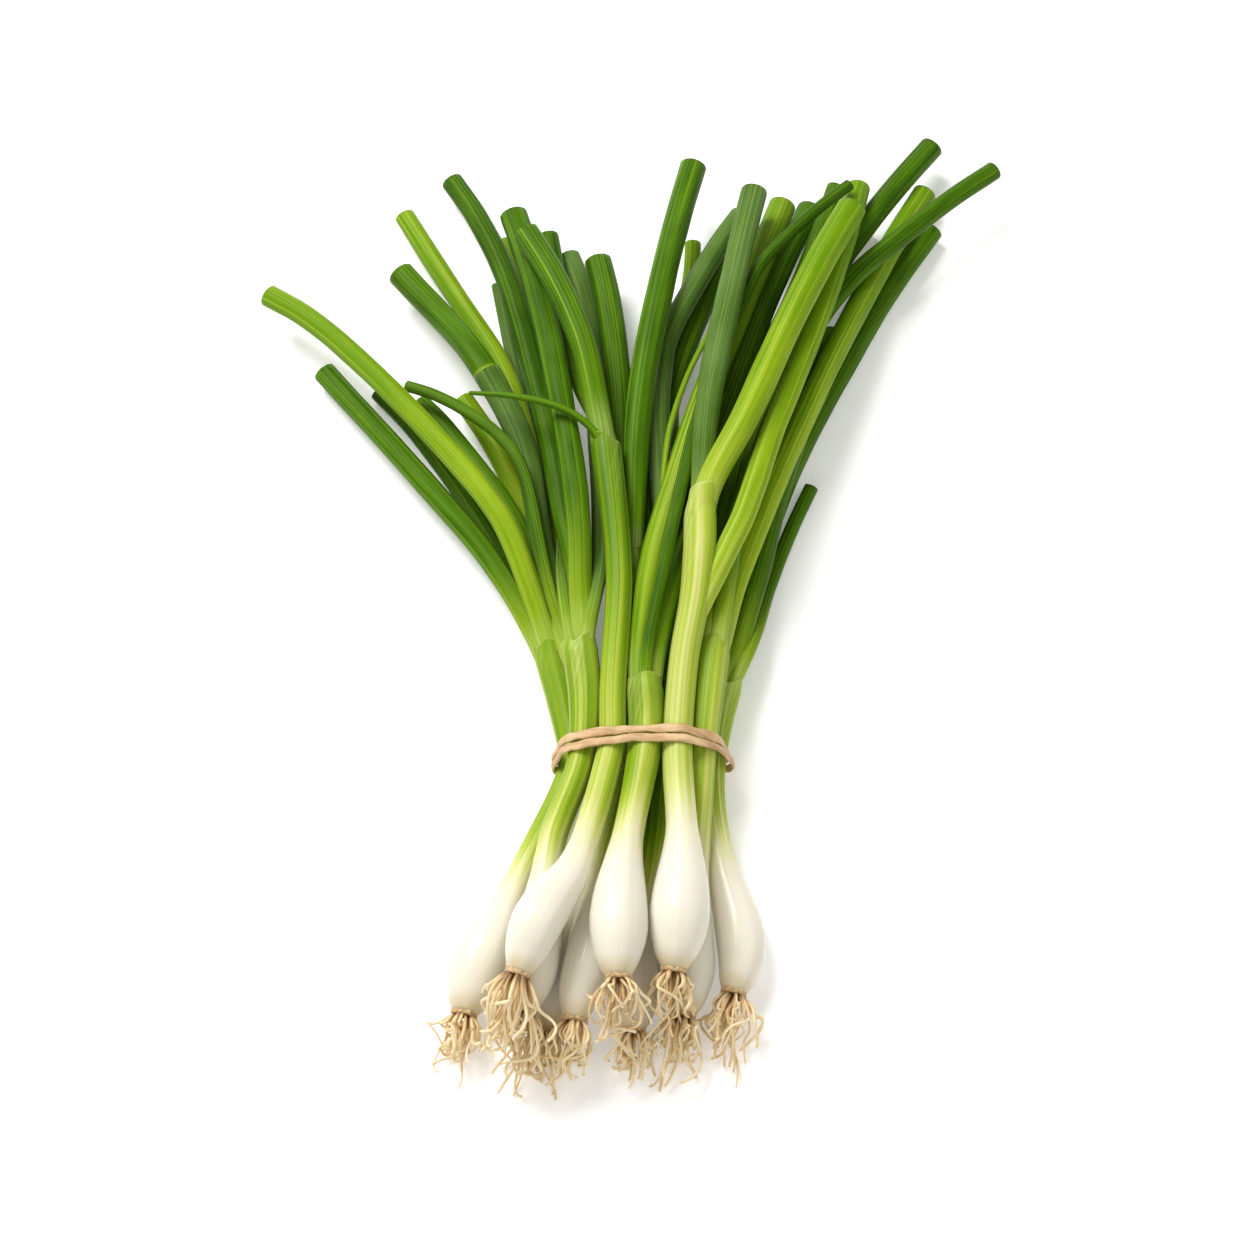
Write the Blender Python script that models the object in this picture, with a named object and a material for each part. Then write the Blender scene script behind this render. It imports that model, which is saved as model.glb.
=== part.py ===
"""A tied bunch of spring onions, lying on its side on a table.

Ten onions are held by one doubled rubber band. Each onion is a bulb that runs up into a
pale stem, a tuft of roots under the bulb, and its own round hollow leaves, trimmed across
at the top. The bunch lies along Y: the roots point to -Y, the leaf tips to +Y, and Z is up
from the table. X runs across the bunch.

Every stem, root tuft and leaf is a strand with a route of a few points. The strands are
then eased clear of one another and of the table, the way a real bunch settles in the hand,
and each is made as a tapered tube along its route.
"""
import math
from dataclasses import dataclass, field

import bmesh
import bpy
import numpy as np
from mathutils import Vector

MM = 0.001                  # the sizes below are in millimetres

# --- clearances ------------------------------------------------------------------------------
GAP = 0.85                  # clearance that the strands are eased to
TOUCH_GAP = 0.5             # clearance between two pieces that meet end to end

# --- easing ----------------------------------------------------------------------------------
STATION = 4.0               # spacing of the points that the easing works on
CURVE_POINTS = 400          # points of the smooth curve that the stations are read from
EASING_ROUNDS = 520         # rounds of easing with the strands kept smooth
CLEARING_ROUNDS = 200       # closing rounds that only clear what is left
STIFFNESS = 0.75            # how far a strand evens out its own bends, each round
EASING_SHARE = (0.65, 0.65, 1.2)      # strands give way upwards sooner than sideways
CLEARING_SHARE = 0.8        # how much of a shortfall one closing round makes up
RETURN_SHARE = (0.985, 0.985, 0.998)  # what is kept of a strand's shift, each round
PAIR_ROUNDS = 12            # rounds between two searches for neighbours
PAIR_REACH = 5.0            # clearance below which two strands count as neighbours
CLEAR_ENOUGH = 0.05         # shortfall of the clearance at which the easing ends
HELD_STATIONS = 2           # stations that keep their place against what a strand grows from

# --- bulbs and stems ---------------------------------------------------------------------------
PLATE_RADIUS = 3.9          # root plate under each bulb
BULB_WIDEST_AT = 18.0       # distance from the root plate to the widest place
SHOULDER_POWER = 0.9        # 0.5 is an ellipse, higher is more pointed
NECK_LENGTH = 34.0          # distance from the widest place to the plain stem

# --- leaves ------------------------------------------------------------------------------------
LEAF_BASE_RADIUS = 1.8      # a leaf where it leaves the stem
LEAF_LEAD = 3.5             # how far it first follows the stem, in base radii
LEAF_SWELL_LENGTH = 60.0    # length in which a leaf reaches its full width
LEAF_SWELL_POWER = 1.35     # how long it stays slim in the sheath first
LEAF_TAPER_POWER = 1.5      # how late it changes towards its tip's width
SIDE_LEAF_STATIONS = 5      # how far down the stem a leaf on its side starts

# --- roots -------------------------------------------------------------------------------------
ROOT_START_SHARE = 0.72     # a root tuft's radius at its start, as a share of the root plate's
ROOT_TUFT_RADIUS = 5.6      # a root tuft at its spread end
ROOT_SPREAD_PART = 0.83     # part of its length in which it spreads
ROOT_DROOP = 0.9            # how steeply a raised tuft hangs: drop per length at its end
ROOT_BEND_AT = 0.45         # part of its length at which it bends down
ROOT_BEND_DROP = 0.3        # part of its drop that is done there

# --- rubber band -------------------------------------------------------------------------------
BAND_WIDTH = 3.0            # one strand of the rubber band
BAND_THICKNESS = 1.1
BAND_SPACING = 3.25         # between the middles of its two turns
BAND_AT = 2.5               # the middle of the band, along the bunch
BAND_CLEARANCE = 0.35       # between the band and the stems
BAND_RIDE = 0.5             # between its strands where one rides over the other
BAND_STATIONS = 58          # rings in one turn
BAND_CROSSING = -0.42       # angle round the bunch, in radians, where the two turns cross
BAND_CROSSING_SPAN = 0.055  # part of a turn in which a strand changes over
BAND_LIFT_SPAN = 0.16       # part of a turn in which the outer strand rides up
BAND_LIFTED_SPAN = 0.069    # part of a turn in which it is fully up
CIRCLE_POINTS = 48          # points round a stem where the band is laid on

# --- facets --------------------------------------------------------------------------------------
STEM_BEVEL = 3              # curve bevel resolution of bulbs and stems, ten sides
LEAF_BEVEL = 2              # curve bevel resolution of leaves and roots, eight sides
RING_TOLERANCE = 0.2        # how far a straight run between two rings may miss the smooth strand

# --- colours: base colour, roughness ---------------------------------------------------------
STEM_COLOUR = ((0.86, 0.88, 0.70, 1.0), 0.32)
ROOT_COLOUR = ((0.80, 0.68, 0.45, 1.0), 0.70)
LEAF_GREEN = ((0.10, 0.28, 0.03, 1.0), 0.42)
LEAF_BLUISH = ((0.13, 0.28, 0.10, 1.0), 0.48)
LEAF_YELLOW = ((0.38, 0.56, 0.06, 1.0), 0.40)
BAND_COLOUR = ((0.62, 0.42, 0.25, 1.0), 0.60)


@dataclass
class Leaf:
    """A leaf's letter, its route from the stem to the cut tip, and its radii."""

    letter: str
    route: list
    radius: float
    tip_radius: float
    colour: tuple = LEAF_GREEN
    base_radius: float = LEAF_BASE_RADIUS
    grows_from: str = "stem end"      # or "stem side", or another leaf's letter


@dataclass
class Onion:
    """An onion's number, radii, root length, route from root plate to fork, and leaves."""

    number: int
    bulb_radius: float
    stem_radius: float
    root_length: float
    route: list
    leaves: list = field(default_factory=list)


# --- the ten onions, left to right by their bulbs ----------------------------------------------
ONIONS = [
    Onion(1, 9.4, 4.6, 16, [(-56, -84, 9.5), (-52, -68, 10), (-39, -38, 11), (-22.6, 0, 11.5),
                        (-24, 18, 12), (-29, 40, 13)], [
        Leaf("a", [(-45, 83, 24), (-64, 110, 24), (-105, 157, 20), (-131, 179, 15)], 4.0, 4.0,
             LEAF_YELLOW),
        Leaf("b", [(-51, 77, 12), (-79, 113, 10), (-111, 153, 6)], 4.0, 4.1),
        Leaf("c", [(-48, 82, 7), (-74, 124, 5), (-92, 146, 4)], 3.1, 3.1),
        Leaf("d", [(-39, 87, 12), (-66, 127, 9), (-77, 140, 7)], 3.3, 3.4),
    ]),
    Onion(2, 8.2, 4.4, 25, [(-38, -80, 37), (-32, -63, 35), (-21, -43, 31), (-10, 0, 24.5),
                        (-9.5, 18, 26), (-8, 60, 29), (-11, 108, 32)], [
        Leaf("a", [(-20, 148, 35), (-40, 194, 30)], 5.0, 4.3),
        Leaf("b", [(-18, 117, 38), (-32, 122, 39), (-58, 127, 36)], 1.5, 0.7, LEAF_GREEN, 1.3),
        Leaf("c", [(-19, 136, 20), (-33, 207, 10)], 3.8, 3.9),
    ]),
    Onion(3, 8.5, 4.5, 21, [(-37, -86, 20), (-32, -71, 20), (-28, -30, 21), (-19.2, 0, 20.8),
                            (-20, 35, 24)], [
        Leaf("a", [(-23, 96, 28), (-32, 156, 26), (-45, 210, 19)], 4.0, 5.0),
        Leaf("b", [(-15, 70, 22), (-15, 117, 19), (-18, 167, 13), (-28, 202, 8)], 2.6, 4.3, LEAF_BLUISH),
        Leaf("c", [(-24, 76, 24), (-32, 121, 20), (-48, 189, 13), (-68, 232, 8)], 4.0, 4.0),
        Leaf("d", [(-29, 90, 14), (-41, 137, 10), (-51, 189, 6)], 2.1, 2.1, LEAF_BLUISH),
        Leaf("e", [(-29, 103, 18), (-41, 180, 8), (-49, 208, 5)], 3.0, 3.0, LEAF_YELLOW),
    ]),
    Onion(4, 7.4, 4.4, 17, [(-30, -89, 7.5), (-28, -74, 8), (-19, -38, 9), (-12.8, 0, 8.5),
                        (-16, 18, 10), (-23, 38, 13)], [
        Leaf("a", [(-30, 76, 14), (-39, 110, 22), (-53, 141, 26)], 3.8, 4.8, LEAF_BLUISH),
        Leaf("b", [(-34, 82, 7), (-48, 117, 8), (-62, 141, 8)], 3.7, 3.8, LEAF_YELLOW),
        Leaf("c", [(-43, 138, 12), (-72, 195, 7), (-85, 219, 5)], 3.7, 3.8, LEAF_YELLOW),
        Leaf("d", [(-33, 76, 21), (-41, 109, 21), (-61, 130, 18), (-81, 141, 17)], 2.5, 1.2),
        Leaf("e", [(-63, 160, 19), (-85, 190, 12)], 4.6, 4.9, LEAF_GREEN, 2.8, "a"),
    ]),
    Onion(5, 7.4, 4.7, 20, [(-21, -89, 19), (-20, -76, 19), (-13, -42, 17), (-3, 0, 14), (-3, 30, 16),
                        (-4, 70, 20)], [
        Leaf("a", [(-6.5, 114, 20), (-10, 162, 17), (-15, 194, 14)], 4.6, 4.8),
        Leaf("b", [(-1, 122, 26), (8, 179, 26), (19, 229, 22)], 4.7, 4.6),
    ]),
    Onion(6, 9.1, 4.9, 20, [(-7.5, -80, 33), (-8, -62, 32), (-6, -40, 30), (0.3, 0, 26), (0, 20, 27)], [
        Leaf("a", [(4.5, 67, 28), (17, 115, 24), (35, 168, 20), (51, 217, 15)], 4.4, 4.9, LEAF_YELLOW),
        Leaf("b", [(8.5, 57, 26), (22, 110, 20), (44, 173, 14), (62, 222, 8)], 4.4, 4.7),
        Leaf("c", [(20, 122, 30), (39, 176, 31), (52, 194, 31), (74, 217, 28)], 2.4, 1.0, LEAF_GREEN, 1.6),
    ]),
    Onion(7, 8.4, 4.5, 16, [(-3, -89, 8.5), (1, -71, 9), (4.7, -40, 12), (7, 0, 14.5), (8, 60, 18)], [
        Leaf("a", [(7.5, 150, 18), (22, 187, 16), (36, 214, 13)], 3.9, 3.8, LEAF_BLUISH),
        Leaf("b", [(5, 105, 14), (14, 157, 10), (29, 199, 6)], 4.6, 4.8),
        Leaf("c", [(10, 138, 10), (18, 185, 7), (19, 208, 4)], 3.0, 3.0, LEAF_YELLOW),
        Leaf("d", [(8, 93, 24), (10, 121, 24), (24, 159, 23)], 1.1, 0.9, LEAF_YELLOW, 1.1),
    ]),
    Onion(8, 9.5, 4.9, 18, [(9.8, -75, 26), (12, -60, 26), (13, -34, 26), (11.6, 0, 26), (14, 31, 28),
                        (17.5, 52, 30), (19, 80, 33)], [
        Leaf("a", [(22, 119, 38), (32, 172, 36), (40, 212, 31)], 4.6, 4.5),
        Leaf("b", [(32, 109, 40), (54, 160, 40), (74, 202, 36)], 5.0, 5.1, LEAF_YELLOW),
        Leaf("c", [(33, 80, 31), (45, 116, 30), (66, 174, 26), (78, 222, 19)], 4.2, 4.0, LEAF_YELLOW, 2.4,
             "stem side"),
    ]),
    Onion(9, 8.4, 4.3, 20, [(13, -84, 9), (15, -71, 9.5), (18, -38, 13), (20.2, 0, 20.3), (23.5, 36, 20)], [
        Leaf("a", [(32, 66, 22), (53, 119, 21), (80, 182, 14), (103, 227, 8)], 4.2, 4.3, LEAF_YELLOW),
        Leaf("b", [(34, 112, 20), (52, 159, 17), (74, 199, 15), (106, 245, 11)], 4.2, 4.4),
        Leaf("c", [(34, 134, 15), (57, 193, 13), (71, 228, 10)], 3.5, 3.5),
        Leaf("d", [(40, 126, 14), (66, 185, 11), (82, 216, 5)], 3.4, 3.5),
        Leaf("e", [(39, 112, 25), (52, 143, 25), (68, 174, 25), (99, 205, 23), (127, 230, 18)], 3.5, 3.4),
    ]),
    Onion(10, 8.0, 4.6, 18, [(29, -77, 9), (28, -62, 9.5), (22.8, -28, 10.5), (22, 0, 10.6), (27, 27, 13)], [
        Leaf("a", [(34, 53, 12), (52, 115, 9), (75, 165, 7), (104, 214, 5)], 4.4, 4.5),
        Leaf("b", [(37, 62, 13), (49, 108, 12), (72, 165, 10)], 4.1, 4.2),
        Leaf("c", [(43, 74, 6), (59, 108, 4)], 2.4, 2.5),
    ]),
]


# --- routes and radii ----------------------------------------------------------------------------
def arc_length(points):
    """Distance along the points, from the first."""
    return np.concatenate([[0.0], np.cumsum(np.linalg.norm(np.diff(points, axis=0), axis=1))])


def smooth_route(points, spacing):
    """Even points along the smooth curve through the given ones."""
    knots = np.array(points, dtype=float)
    steps = np.maximum(np.linalg.norm(np.diff(knots, axis=0), axis=1), 1e-6)
    at = np.concatenate([[0.0], np.cumsum(steps)])
    slopes = np.empty_like(knots)
    slopes[1:-1] = (knots[2:] - knots[:-2]) / (at[2:] - at[:-2])[:, None]
    slopes[0] = (knots[1] - knots[0]) / steps[0]
    slopes[-1] = 2 * (knots[-1] - knots[-2]) / steps[-1] - slopes[-2]
    fine = np.linspace(0.0, at[-1], CURVE_POINTS)
    span = np.clip(np.searchsorted(at, fine, side="right") - 1, 0, len(steps) - 1)
    length = steps[span][:, None]
    t = ((fine - at[span]) / steps[span])[:, None]
    curve = ((2 * t**3 - 3 * t**2 + 1) * knots[span] + (t**3 - 2 * t**2 + t) * length * slopes[span]
             + (3 * t**2 - 2 * t**3) * knots[span + 1] + (t**3 - t**2) * length * slopes[span + 1])
    run = arc_length(curve)
    count = max(4, int(round(run[-1] / spacing)) + 1)
    stations = np.linspace(0.0, run[-1], count)
    return np.column_stack([np.interp(stations, run, curve[:, axis]) for axis in range(3)])


def ease(value):
    """A smooth step from 0 to 1."""
    value = np.clip(value, 0.0, 1.0)
    return value * value * (3 - 2 * value)


def stem_radii(distance, onion):
    """Radius along an onion: rounded shoulder, widest bulb, long neck, plain stem."""
    back = np.clip(1 - distance / BULB_WIDEST_AT, 0.0, 1.0)
    shoulder = PLATE_RADIUS + (onion.bulb_radius - PLATE_RADIUS) * (1 - back**2) ** SHOULDER_POWER
    past = ease((distance - BULB_WIDEST_AT) / NECK_LENGTH)
    neck = onion.stem_radius + (onion.bulb_radius - onion.stem_radius) * (1 - past)
    return np.where(distance < BULB_WIDEST_AT, shoulder, neck)


def leaf_radii(distance, leaf):
    """Radius along a leaf: it swells from the stem, then runs evenly to the cut tip."""
    swell = ease(distance / LEAF_SWELL_LENGTH) ** LEAF_SWELL_POWER
    full = leaf.radius + (leaf.tip_radius - leaf.radius) * (distance / distance[-1]) ** LEAF_TAPER_POWER
    return leaf.base_radius + (full - leaf.base_radius) * swell


@dataclass
class Strand:
    """A tube to be made: its node name, stations, radii and colour."""

    name: str
    points: np.ndarray
    radii: np.ndarray
    colour: tuple
    bevel: int
    held: int = 0              # stations at the start that keep their place
    grows_from: str = ""       # the strand whose end this one starts from
    at_root: bool = False      # it starts from that strand's root plate


# --- laying out the strands ------------------------------------------------------------------------
def stem_strand(onion):
    """The bulb and stem of one onion."""
    points = smooth_route(onion.route, STATION)
    return Strand(f"onion_{onion.number}_bulb_stem", points, stem_radii(arc_length(points), onion),
                  STEM_COLOUR, STEM_BEVEL)


def root_strand(onion, stem):
    """The outer shape of an onion's root tuft: it leaves the root plate and droops to the table."""
    away = stem.points[0] - stem.points[1]
    away /= np.linalg.norm(away)
    start = stem.points[0] + away * TOUCH_GAP
    lead = start + away * STATION
    middle = start + away * onion.root_length * ROOT_BEND_AT
    end = start + away * onion.root_length
    end[2] = max(ROOT_TUFT_RADIUS, start[2] - ROOT_DROOP * onion.root_length)
    middle[2] = start[2] + (end[2] - start[2]) * ROOT_BEND_DROP
    points = smooth_route([start, lead, middle, end], STATION)
    along = arc_length(points) / arc_length(points)[-1]
    slim = PLATE_RADIUS * ROOT_START_SHARE
    radii = slim + (ROOT_TUFT_RADIUS - slim) * ease(along / ROOT_SPREAD_PART)
    return Strand(f"onion_{onion.number}_roots", points, radii, ROOT_COLOUR, LEAF_BEVEL, HELD_STATIONS,
                  stem.name, True)


def fan_places(leaves, end, heading):
    """Where each leaf starts on a stem's end: side by side round its axis, each on its own side."""
    across = np.cross(heading, (0.0, 0.0, 1.0))
    across /= np.linalg.norm(across)
    up = np.cross(across, heading)
    bearings = []
    for leaf in leaves:
        reach = np.array(leaf.route[0], dtype=float) - end
        bearings.append(math.atan2(reach @ up, reach @ across))
    order = sorted(range(len(leaves)), key=lambda k: bearings[k])
    share = 2 * math.pi / len(leaves)
    turn = sum(bearings[k] - place * share for place, k in enumerate(order)) / len(leaves)
    widest = max(leaf.base_radius for leaf in leaves)
    spread = (widest + GAP / 2) / math.sin(share / 2) if len(leaves) > 1 else 0.0
    places = [None] * len(leaves)
    for place, k in enumerate(order):
        angle = turn + place * share
        places[k] = end + (across * math.cos(angle) + up * math.sin(angle)) * spread
    return places


def leaf_strand(onion, leaf, start, heading, grows_from):
    """One leaf, from its place on the stem along its route."""
    lead = start + heading * (LEAF_LEAD * leaf.base_radius)
    points = smooth_route([start + heading * TOUCH_GAP, lead] + list(leaf.route), STATION)
    held = HELD_STATIONS if grows_from else 0
    return Strand(f"onion_{onion.number}_leaf_{leaf.letter}", points, leaf_radii(arc_length(points), leaf),
                  leaf.colour, LEAF_BEVEL, held, grows_from)


def end_heading(strand):
    """The direction of a strand's last stretch."""
    heading = strand.points[-1] - strand.points[-2]
    return heading / np.linalg.norm(heading)


def leaf_strands(onion, stem):
    """All the leaves of one onion."""
    made = {}
    at_end = [leaf for leaf in onion.leaves if leaf.grows_from == "stem end"]
    heading = end_heading(stem)
    for leaf, place in zip(at_end, fan_places(at_end, stem.points[-1], heading)):
        made[leaf.letter] = leaf_strand(onion, leaf, place, heading, stem.name)
    for leaf in onion.leaves:
        if leaf.grows_from == "stem side":
            beside = np.array(leaf.route[0], dtype=float)
            nearest = int(np.argmin(np.linalg.norm(stem.points - beside, axis=1)))
            station = nearest - SIDE_LEAF_STATIONS
            axis = stem.points[station + 1] - stem.points[station]
            axis /= np.linalg.norm(axis)
            side = np.cross(axis, (0.0, 0.0, 1.0))
            start = stem.points[station] + side * (onion.stem_radius + leaf.base_radius + GAP)
            made[leaf.letter] = leaf_strand(onion, leaf, start, axis, "")
        elif leaf.grows_from != "stem end":
            parent = made[leaf.grows_from]
            made[leaf.letter] = leaf_strand(onion, leaf, parent.points[-1], end_heading(parent), parent.name)
    return [made[leaf.letter] for leaf in onion.leaves]


# --- easing the strands clear of one another ---------------------------------------------------------
def near_pairs(points, radii, owner, parent, reach):
    """Pairs of a station and a stretch of another strand that are close enough to matter."""
    stretch = np.flatnonzero(owner[:-1] == owner[1:])
    middle = (points[stretch] + points[stretch + 1]) / 2
    found_i, found_j = [], []
    for index in range(len(points)):
        away = np.linalg.norm(middle - points[index], axis=1)
        close = away < radii[index] + radii[stretch] + reach
        close &= owner[stretch] != owner[index]
        close &= parent[owner[index]] != owner[stretch]
        close &= parent[owner[stretch]] != owner[index]
        found_j.append(stretch[close])
        found_i.append(np.full(int(close.sum()), index))
    return np.concatenate(found_i), np.concatenate(found_j)


def separate(points, radii, station, stretch, gap):
    """How far each station must move, and by how much the closest pair still falls short."""
    start, end = points[stretch], points[stretch + 1]
    along = end - start
    t = np.einsum("ij,ij->i", points[station] - start, along) / np.einsum("ij,ij->i", along, along)
    t = np.clip(t, 0.0, 1.0)
    nearest = start + along * t[:, None]
    apart = points[station] - nearest
    distance = np.maximum(np.linalg.norm(apart, axis=1), 1e-6)
    needed = radii[station] + radii[stretch] * (1 - t) + radii[stretch + 1] * t + gap
    short = np.maximum(needed - distance, 0.0)
    push = apart / distance[:, None] * (short / 2)[:, None]
    move = np.zeros_like(points)
    hits = np.zeros(len(points))
    for target, share in ((station, push), (stretch, -push * (1 - t)[:, None]),
                          (stretch + 1, -push * t[:, None])):
        np.add.at(move, target, share)
        np.add.at(hits, target, (short > 0).astype(float))
    return move / np.maximum(hits, 1.0)[:, None] ** 0.5, float(short.max())


def settle(strands):
    """Ease the strands apart until none overlaps another or the table."""
    points = np.concatenate([strand.points for strand in strands])
    radii = np.concatenate([strand.radii for strand in strands])
    owner = np.concatenate([np.full(len(strand.points), k) for k, strand in enumerate(strands)])
    names = [strand.name for strand in strands]
    parent = np.array([names.index(s.grows_from) if s.grows_from else -1 for s in strands])
    firsts = np.cumsum([0] + [len(strand.points) for strand in strands])
    home = points.copy()
    inner = np.flatnonzero((owner[:-2] == owner[2:])) + 1
    limp_from = EASING_ROUNDS + CLEARING_ROUNDS / 2
    for step in range(EASING_ROUNDS + CLEARING_ROUNDS):
        if step % PAIR_ROUNDS == 0:
            station, stretch = near_pairs(points, radii, owner, parent, PAIR_REACH)
        move, worst = separate(points, radii, station, stretch, GAP)
        points += move * (EASING_SHARE if step < EASING_ROUNDS else CLEARING_SHARE)
        moved = points - home
        stiffness = STIFFNESS * min(1.0, max(0.0, (limp_from - step) / (limp_from - EASING_ROUNDS)))
        moved[inner] += stiffness * ((moved[inner - 1] + moved[inner + 1]) / 2 - moved[inner])
        if step < EASING_ROUNDS:
            moved *= RETURN_SHARE
        points = home + moved
        points[:, 2] = np.maximum(points[:, 2], radii)
        for k, strand in enumerate(strands):
            if strand.held:
                base = firsts[parent[k]] if strand.at_root else firsts[parent[k] + 1] - 1
                inward = base + 1 if strand.at_root else base - 1
                was = Vector(home[base] - home[inward])
                now = Vector(points[base] - points[inward])
                turn = np.array(was.rotation_difference(now).to_matrix())
                held = slice(firsts[k], firsts[k] + strand.held)
                points[held] = points[base] + (home[held] - home[base]) @ turn.T
        if step >= limp_from and worst < CLEAR_ENOUGH:
            break
    for k, strand in enumerate(strands):
        strand.points = points[firsts[k]:firsts[k + 1]]


# --- the rubber band ---------------------------------------------------------------------------------
def hull(points):
    """Convex outline of flat points, anticlockwise."""
    ordered = sorted(map(tuple, points))
    outline = []
    for sweep in (ordered, ordered[::-1]):
        side = []
        for point in sweep:
            while len(side) > 1 and ((side[-1][0] - side[-2][0]) * (point[1] - side[-2][1])
                                     - (side[-1][1] - side[-2][1]) * (point[0] - side[-2][0])) <= 0:
                side.pop()
            side.append(point)
        outline += side[:-1]
    return np.array(outline)


def band_outline(strands):
    """The loop that a taut band takes round the stems, as even points and outward directions."""
    around = np.linspace(0.0, 2 * math.pi, CIRCLE_POINTS, endpoint=False)
    reach = BAND_SPACING / 2 + BAND_WIDTH / 2 + STATION
    circles = []
    for strand in strands:
        for point, radius in zip(strand.points, strand.radii):
            if abs(point[1] - BAND_AT) < reach:
                out = radius + BAND_CLEARANCE + BAND_THICKNESS / 2
                across, up = point[0] + out * np.cos(around), point[2] + out * np.sin(around)
                circles.append(np.column_stack([across, up]))
    loop = hull(np.concatenate(circles))
    loop = np.vstack([loop, loop[:1]])
    run = arc_length(loop)
    even = np.linspace(0.0, run[-1], BAND_STATIONS, endpoint=False)
    places = np.column_stack([np.interp(even, run, loop[:, 0]), np.interp(even, run, loop[:, 1])])
    ahead = np.roll(places, -1, axis=0) - np.roll(places, 1, axis=0)
    ahead /= np.linalg.norm(ahead, axis=1)[:, None]
    return places, np.column_stack([ahead[:, 1], -ahead[:, 0]])


def band_mesh(strands):
    """A band wound twice round the stems: its two turns lie side by side and cross once."""
    places, outward = band_outline(strands)
    middle = places.mean(axis=0)
    angles = np.arctan2(places[:, 1] - middle[1], places[:, 0] - middle[0])
    crossing = int(np.argmin(np.abs(angles - BAND_CROSSING)))
    places, outward = np.roll(places, -crossing, axis=0), np.roll(outward, -crossing, axis=0)
    mesh = bmesh.new()
    rings = []
    for station in range(2 * BAND_STATIONS):
        turn = station / BAND_STATIONS
        place, out = places[station % BAND_STATIONS], outward[station % BAND_STATIONS]
        from_first = min(turn, 2 - turn)
        from_second = abs(turn - 1)
        side = 1.0 if turn < 1 else -1.0
        if from_first < BAND_CROSSING_SPAN:
            side *= math.sin(math.pi / 2 * from_first / BAND_CROSSING_SPAN)
        if from_second < BAND_CROSSING_SPAN:
            side *= math.sin(math.pi / 2 * from_second / BAND_CROSSING_SPAN)
        rise = float(ease((BAND_LIFT_SPAN - from_second) / (BAND_LIFT_SPAN - BAND_LIFTED_SPAN)))
        lift = (BAND_THICKNESS + BAND_RIDE) * rise
        ring = []
        for wide, thick in ((-1, -1), (1, -1), (1, 1), (-1, 1)):
            reach = place + out * (lift + thick * BAND_THICKNESS / 2)
            along = BAND_AT + side * BAND_SPACING / 2 + wide * BAND_WIDTH / 2
            ring.append(mesh.verts.new((reach[0] * MM, along * MM, reach[1] * MM)))
        rings.append(ring)
    for ring, following in zip(rings, rings[1:] + rings[:1]):
        for corner in range(4):
            after = (corner + 1) % 4
            mesh.faces.new((ring[corner], ring[after], following[after], following[corner]))
    bmesh.ops.recalc_face_normals(mesh, faces=mesh.faces)
    made = bpy.data.meshes.new("rubber_band")
    mesh.to_mesh(made)
    mesh.free()
    made.shade_smooth()
    return made


# --- making the objects --------------------------------------------------------------------------------
def finish(name, colour):
    """A plain material for one piece."""
    made = bpy.data.materials.new(name + "_finish")
    made.use_nodes = True
    surface = made.node_tree.nodes["Principled BSDF"]
    surface.inputs["Base Color"].default_value = colour[0]
    surface.inputs["Roughness"].default_value = colour[1]
    surface.inputs["Metallic"].default_value = 0.0
    return made


def ring_stations(strand):
    """The stations that need a ring: where the strand bends, swells or narrows, and its ends."""
    shape = np.column_stack([strand.points, strand.radii])
    kept = {0, len(shape) - 1}
    spans = [(0, len(shape) - 1)]
    while spans:
        low, high = spans.pop()
        if high - low < 2:
            continue
        t = (np.arange(low, high + 1) - low)[:, None] / (high - low)
        miss = np.linalg.norm(shape[low:high + 1] - (shape[low] + (shape[high] - shape[low]) * t), axis=1)
        if miss.max() > RING_TOLERANCE:
            split = low + int(miss.argmax())
            kept.add(split)
            spans += [(low, split), (split, high)]
    return sorted(kept)


def tube(strand, shift):
    """A strand as a tapered curve with filled ends."""
    curve = bpy.data.curves.new(strand.name, "CURVE")
    curve.dimensions = "3D"
    curve.twist_mode = "MINIMUM"
    curve.bevel_depth = MM
    curve.bevel_resolution = strand.bevel
    curve.use_fill_caps = True
    stations = ring_stations(strand)
    line = curve.splines.new("POLY")
    line.points.add(len(stations) - 1)
    for point, station in zip(line.points, stations):
        point.co = [value * MM for value in strand.points[station] + shift] + [1.0]
        point.radius = float(strand.radii[station])
    made = bpy.data.objects.new(strand.name, curve)
    made.data.materials.append(finish(strand.name, strand.colour))
    bpy.context.collection.objects.link(made)
    return made


def build():
    """Model the whole bunch, with its origin on the table under the middle of its box."""
    for old in list(bpy.data.objects):
        bpy.data.objects.remove(old, do_unlink=True)
    strands = []
    for onion in ONIONS:
        stem = stem_strand(onion)
        strands += [stem, root_strand(onion, stem)] + leaf_strands(onion, stem)
    settle(strands)
    low = np.min([(s.points - s.radii[:, None]).min(axis=0) for s in strands], axis=0)
    high = np.max([(s.points + s.radii[:, None]).max(axis=0) for s in strands], axis=0)
    shift = np.array([-(low[0] + high[0]) / 2, -(low[1] + high[1]) / 2, 0.0])
    for strand in strands:
        tube(strand, shift)
    band = bpy.data.objects.new("rubber_band", band_mesh(strands))
    band.location = [value * MM for value in shift]
    band.data.materials.append(finish("rubber_band", BAND_COLOUR))
    bpy.context.collection.objects.link(band)


build()
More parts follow.
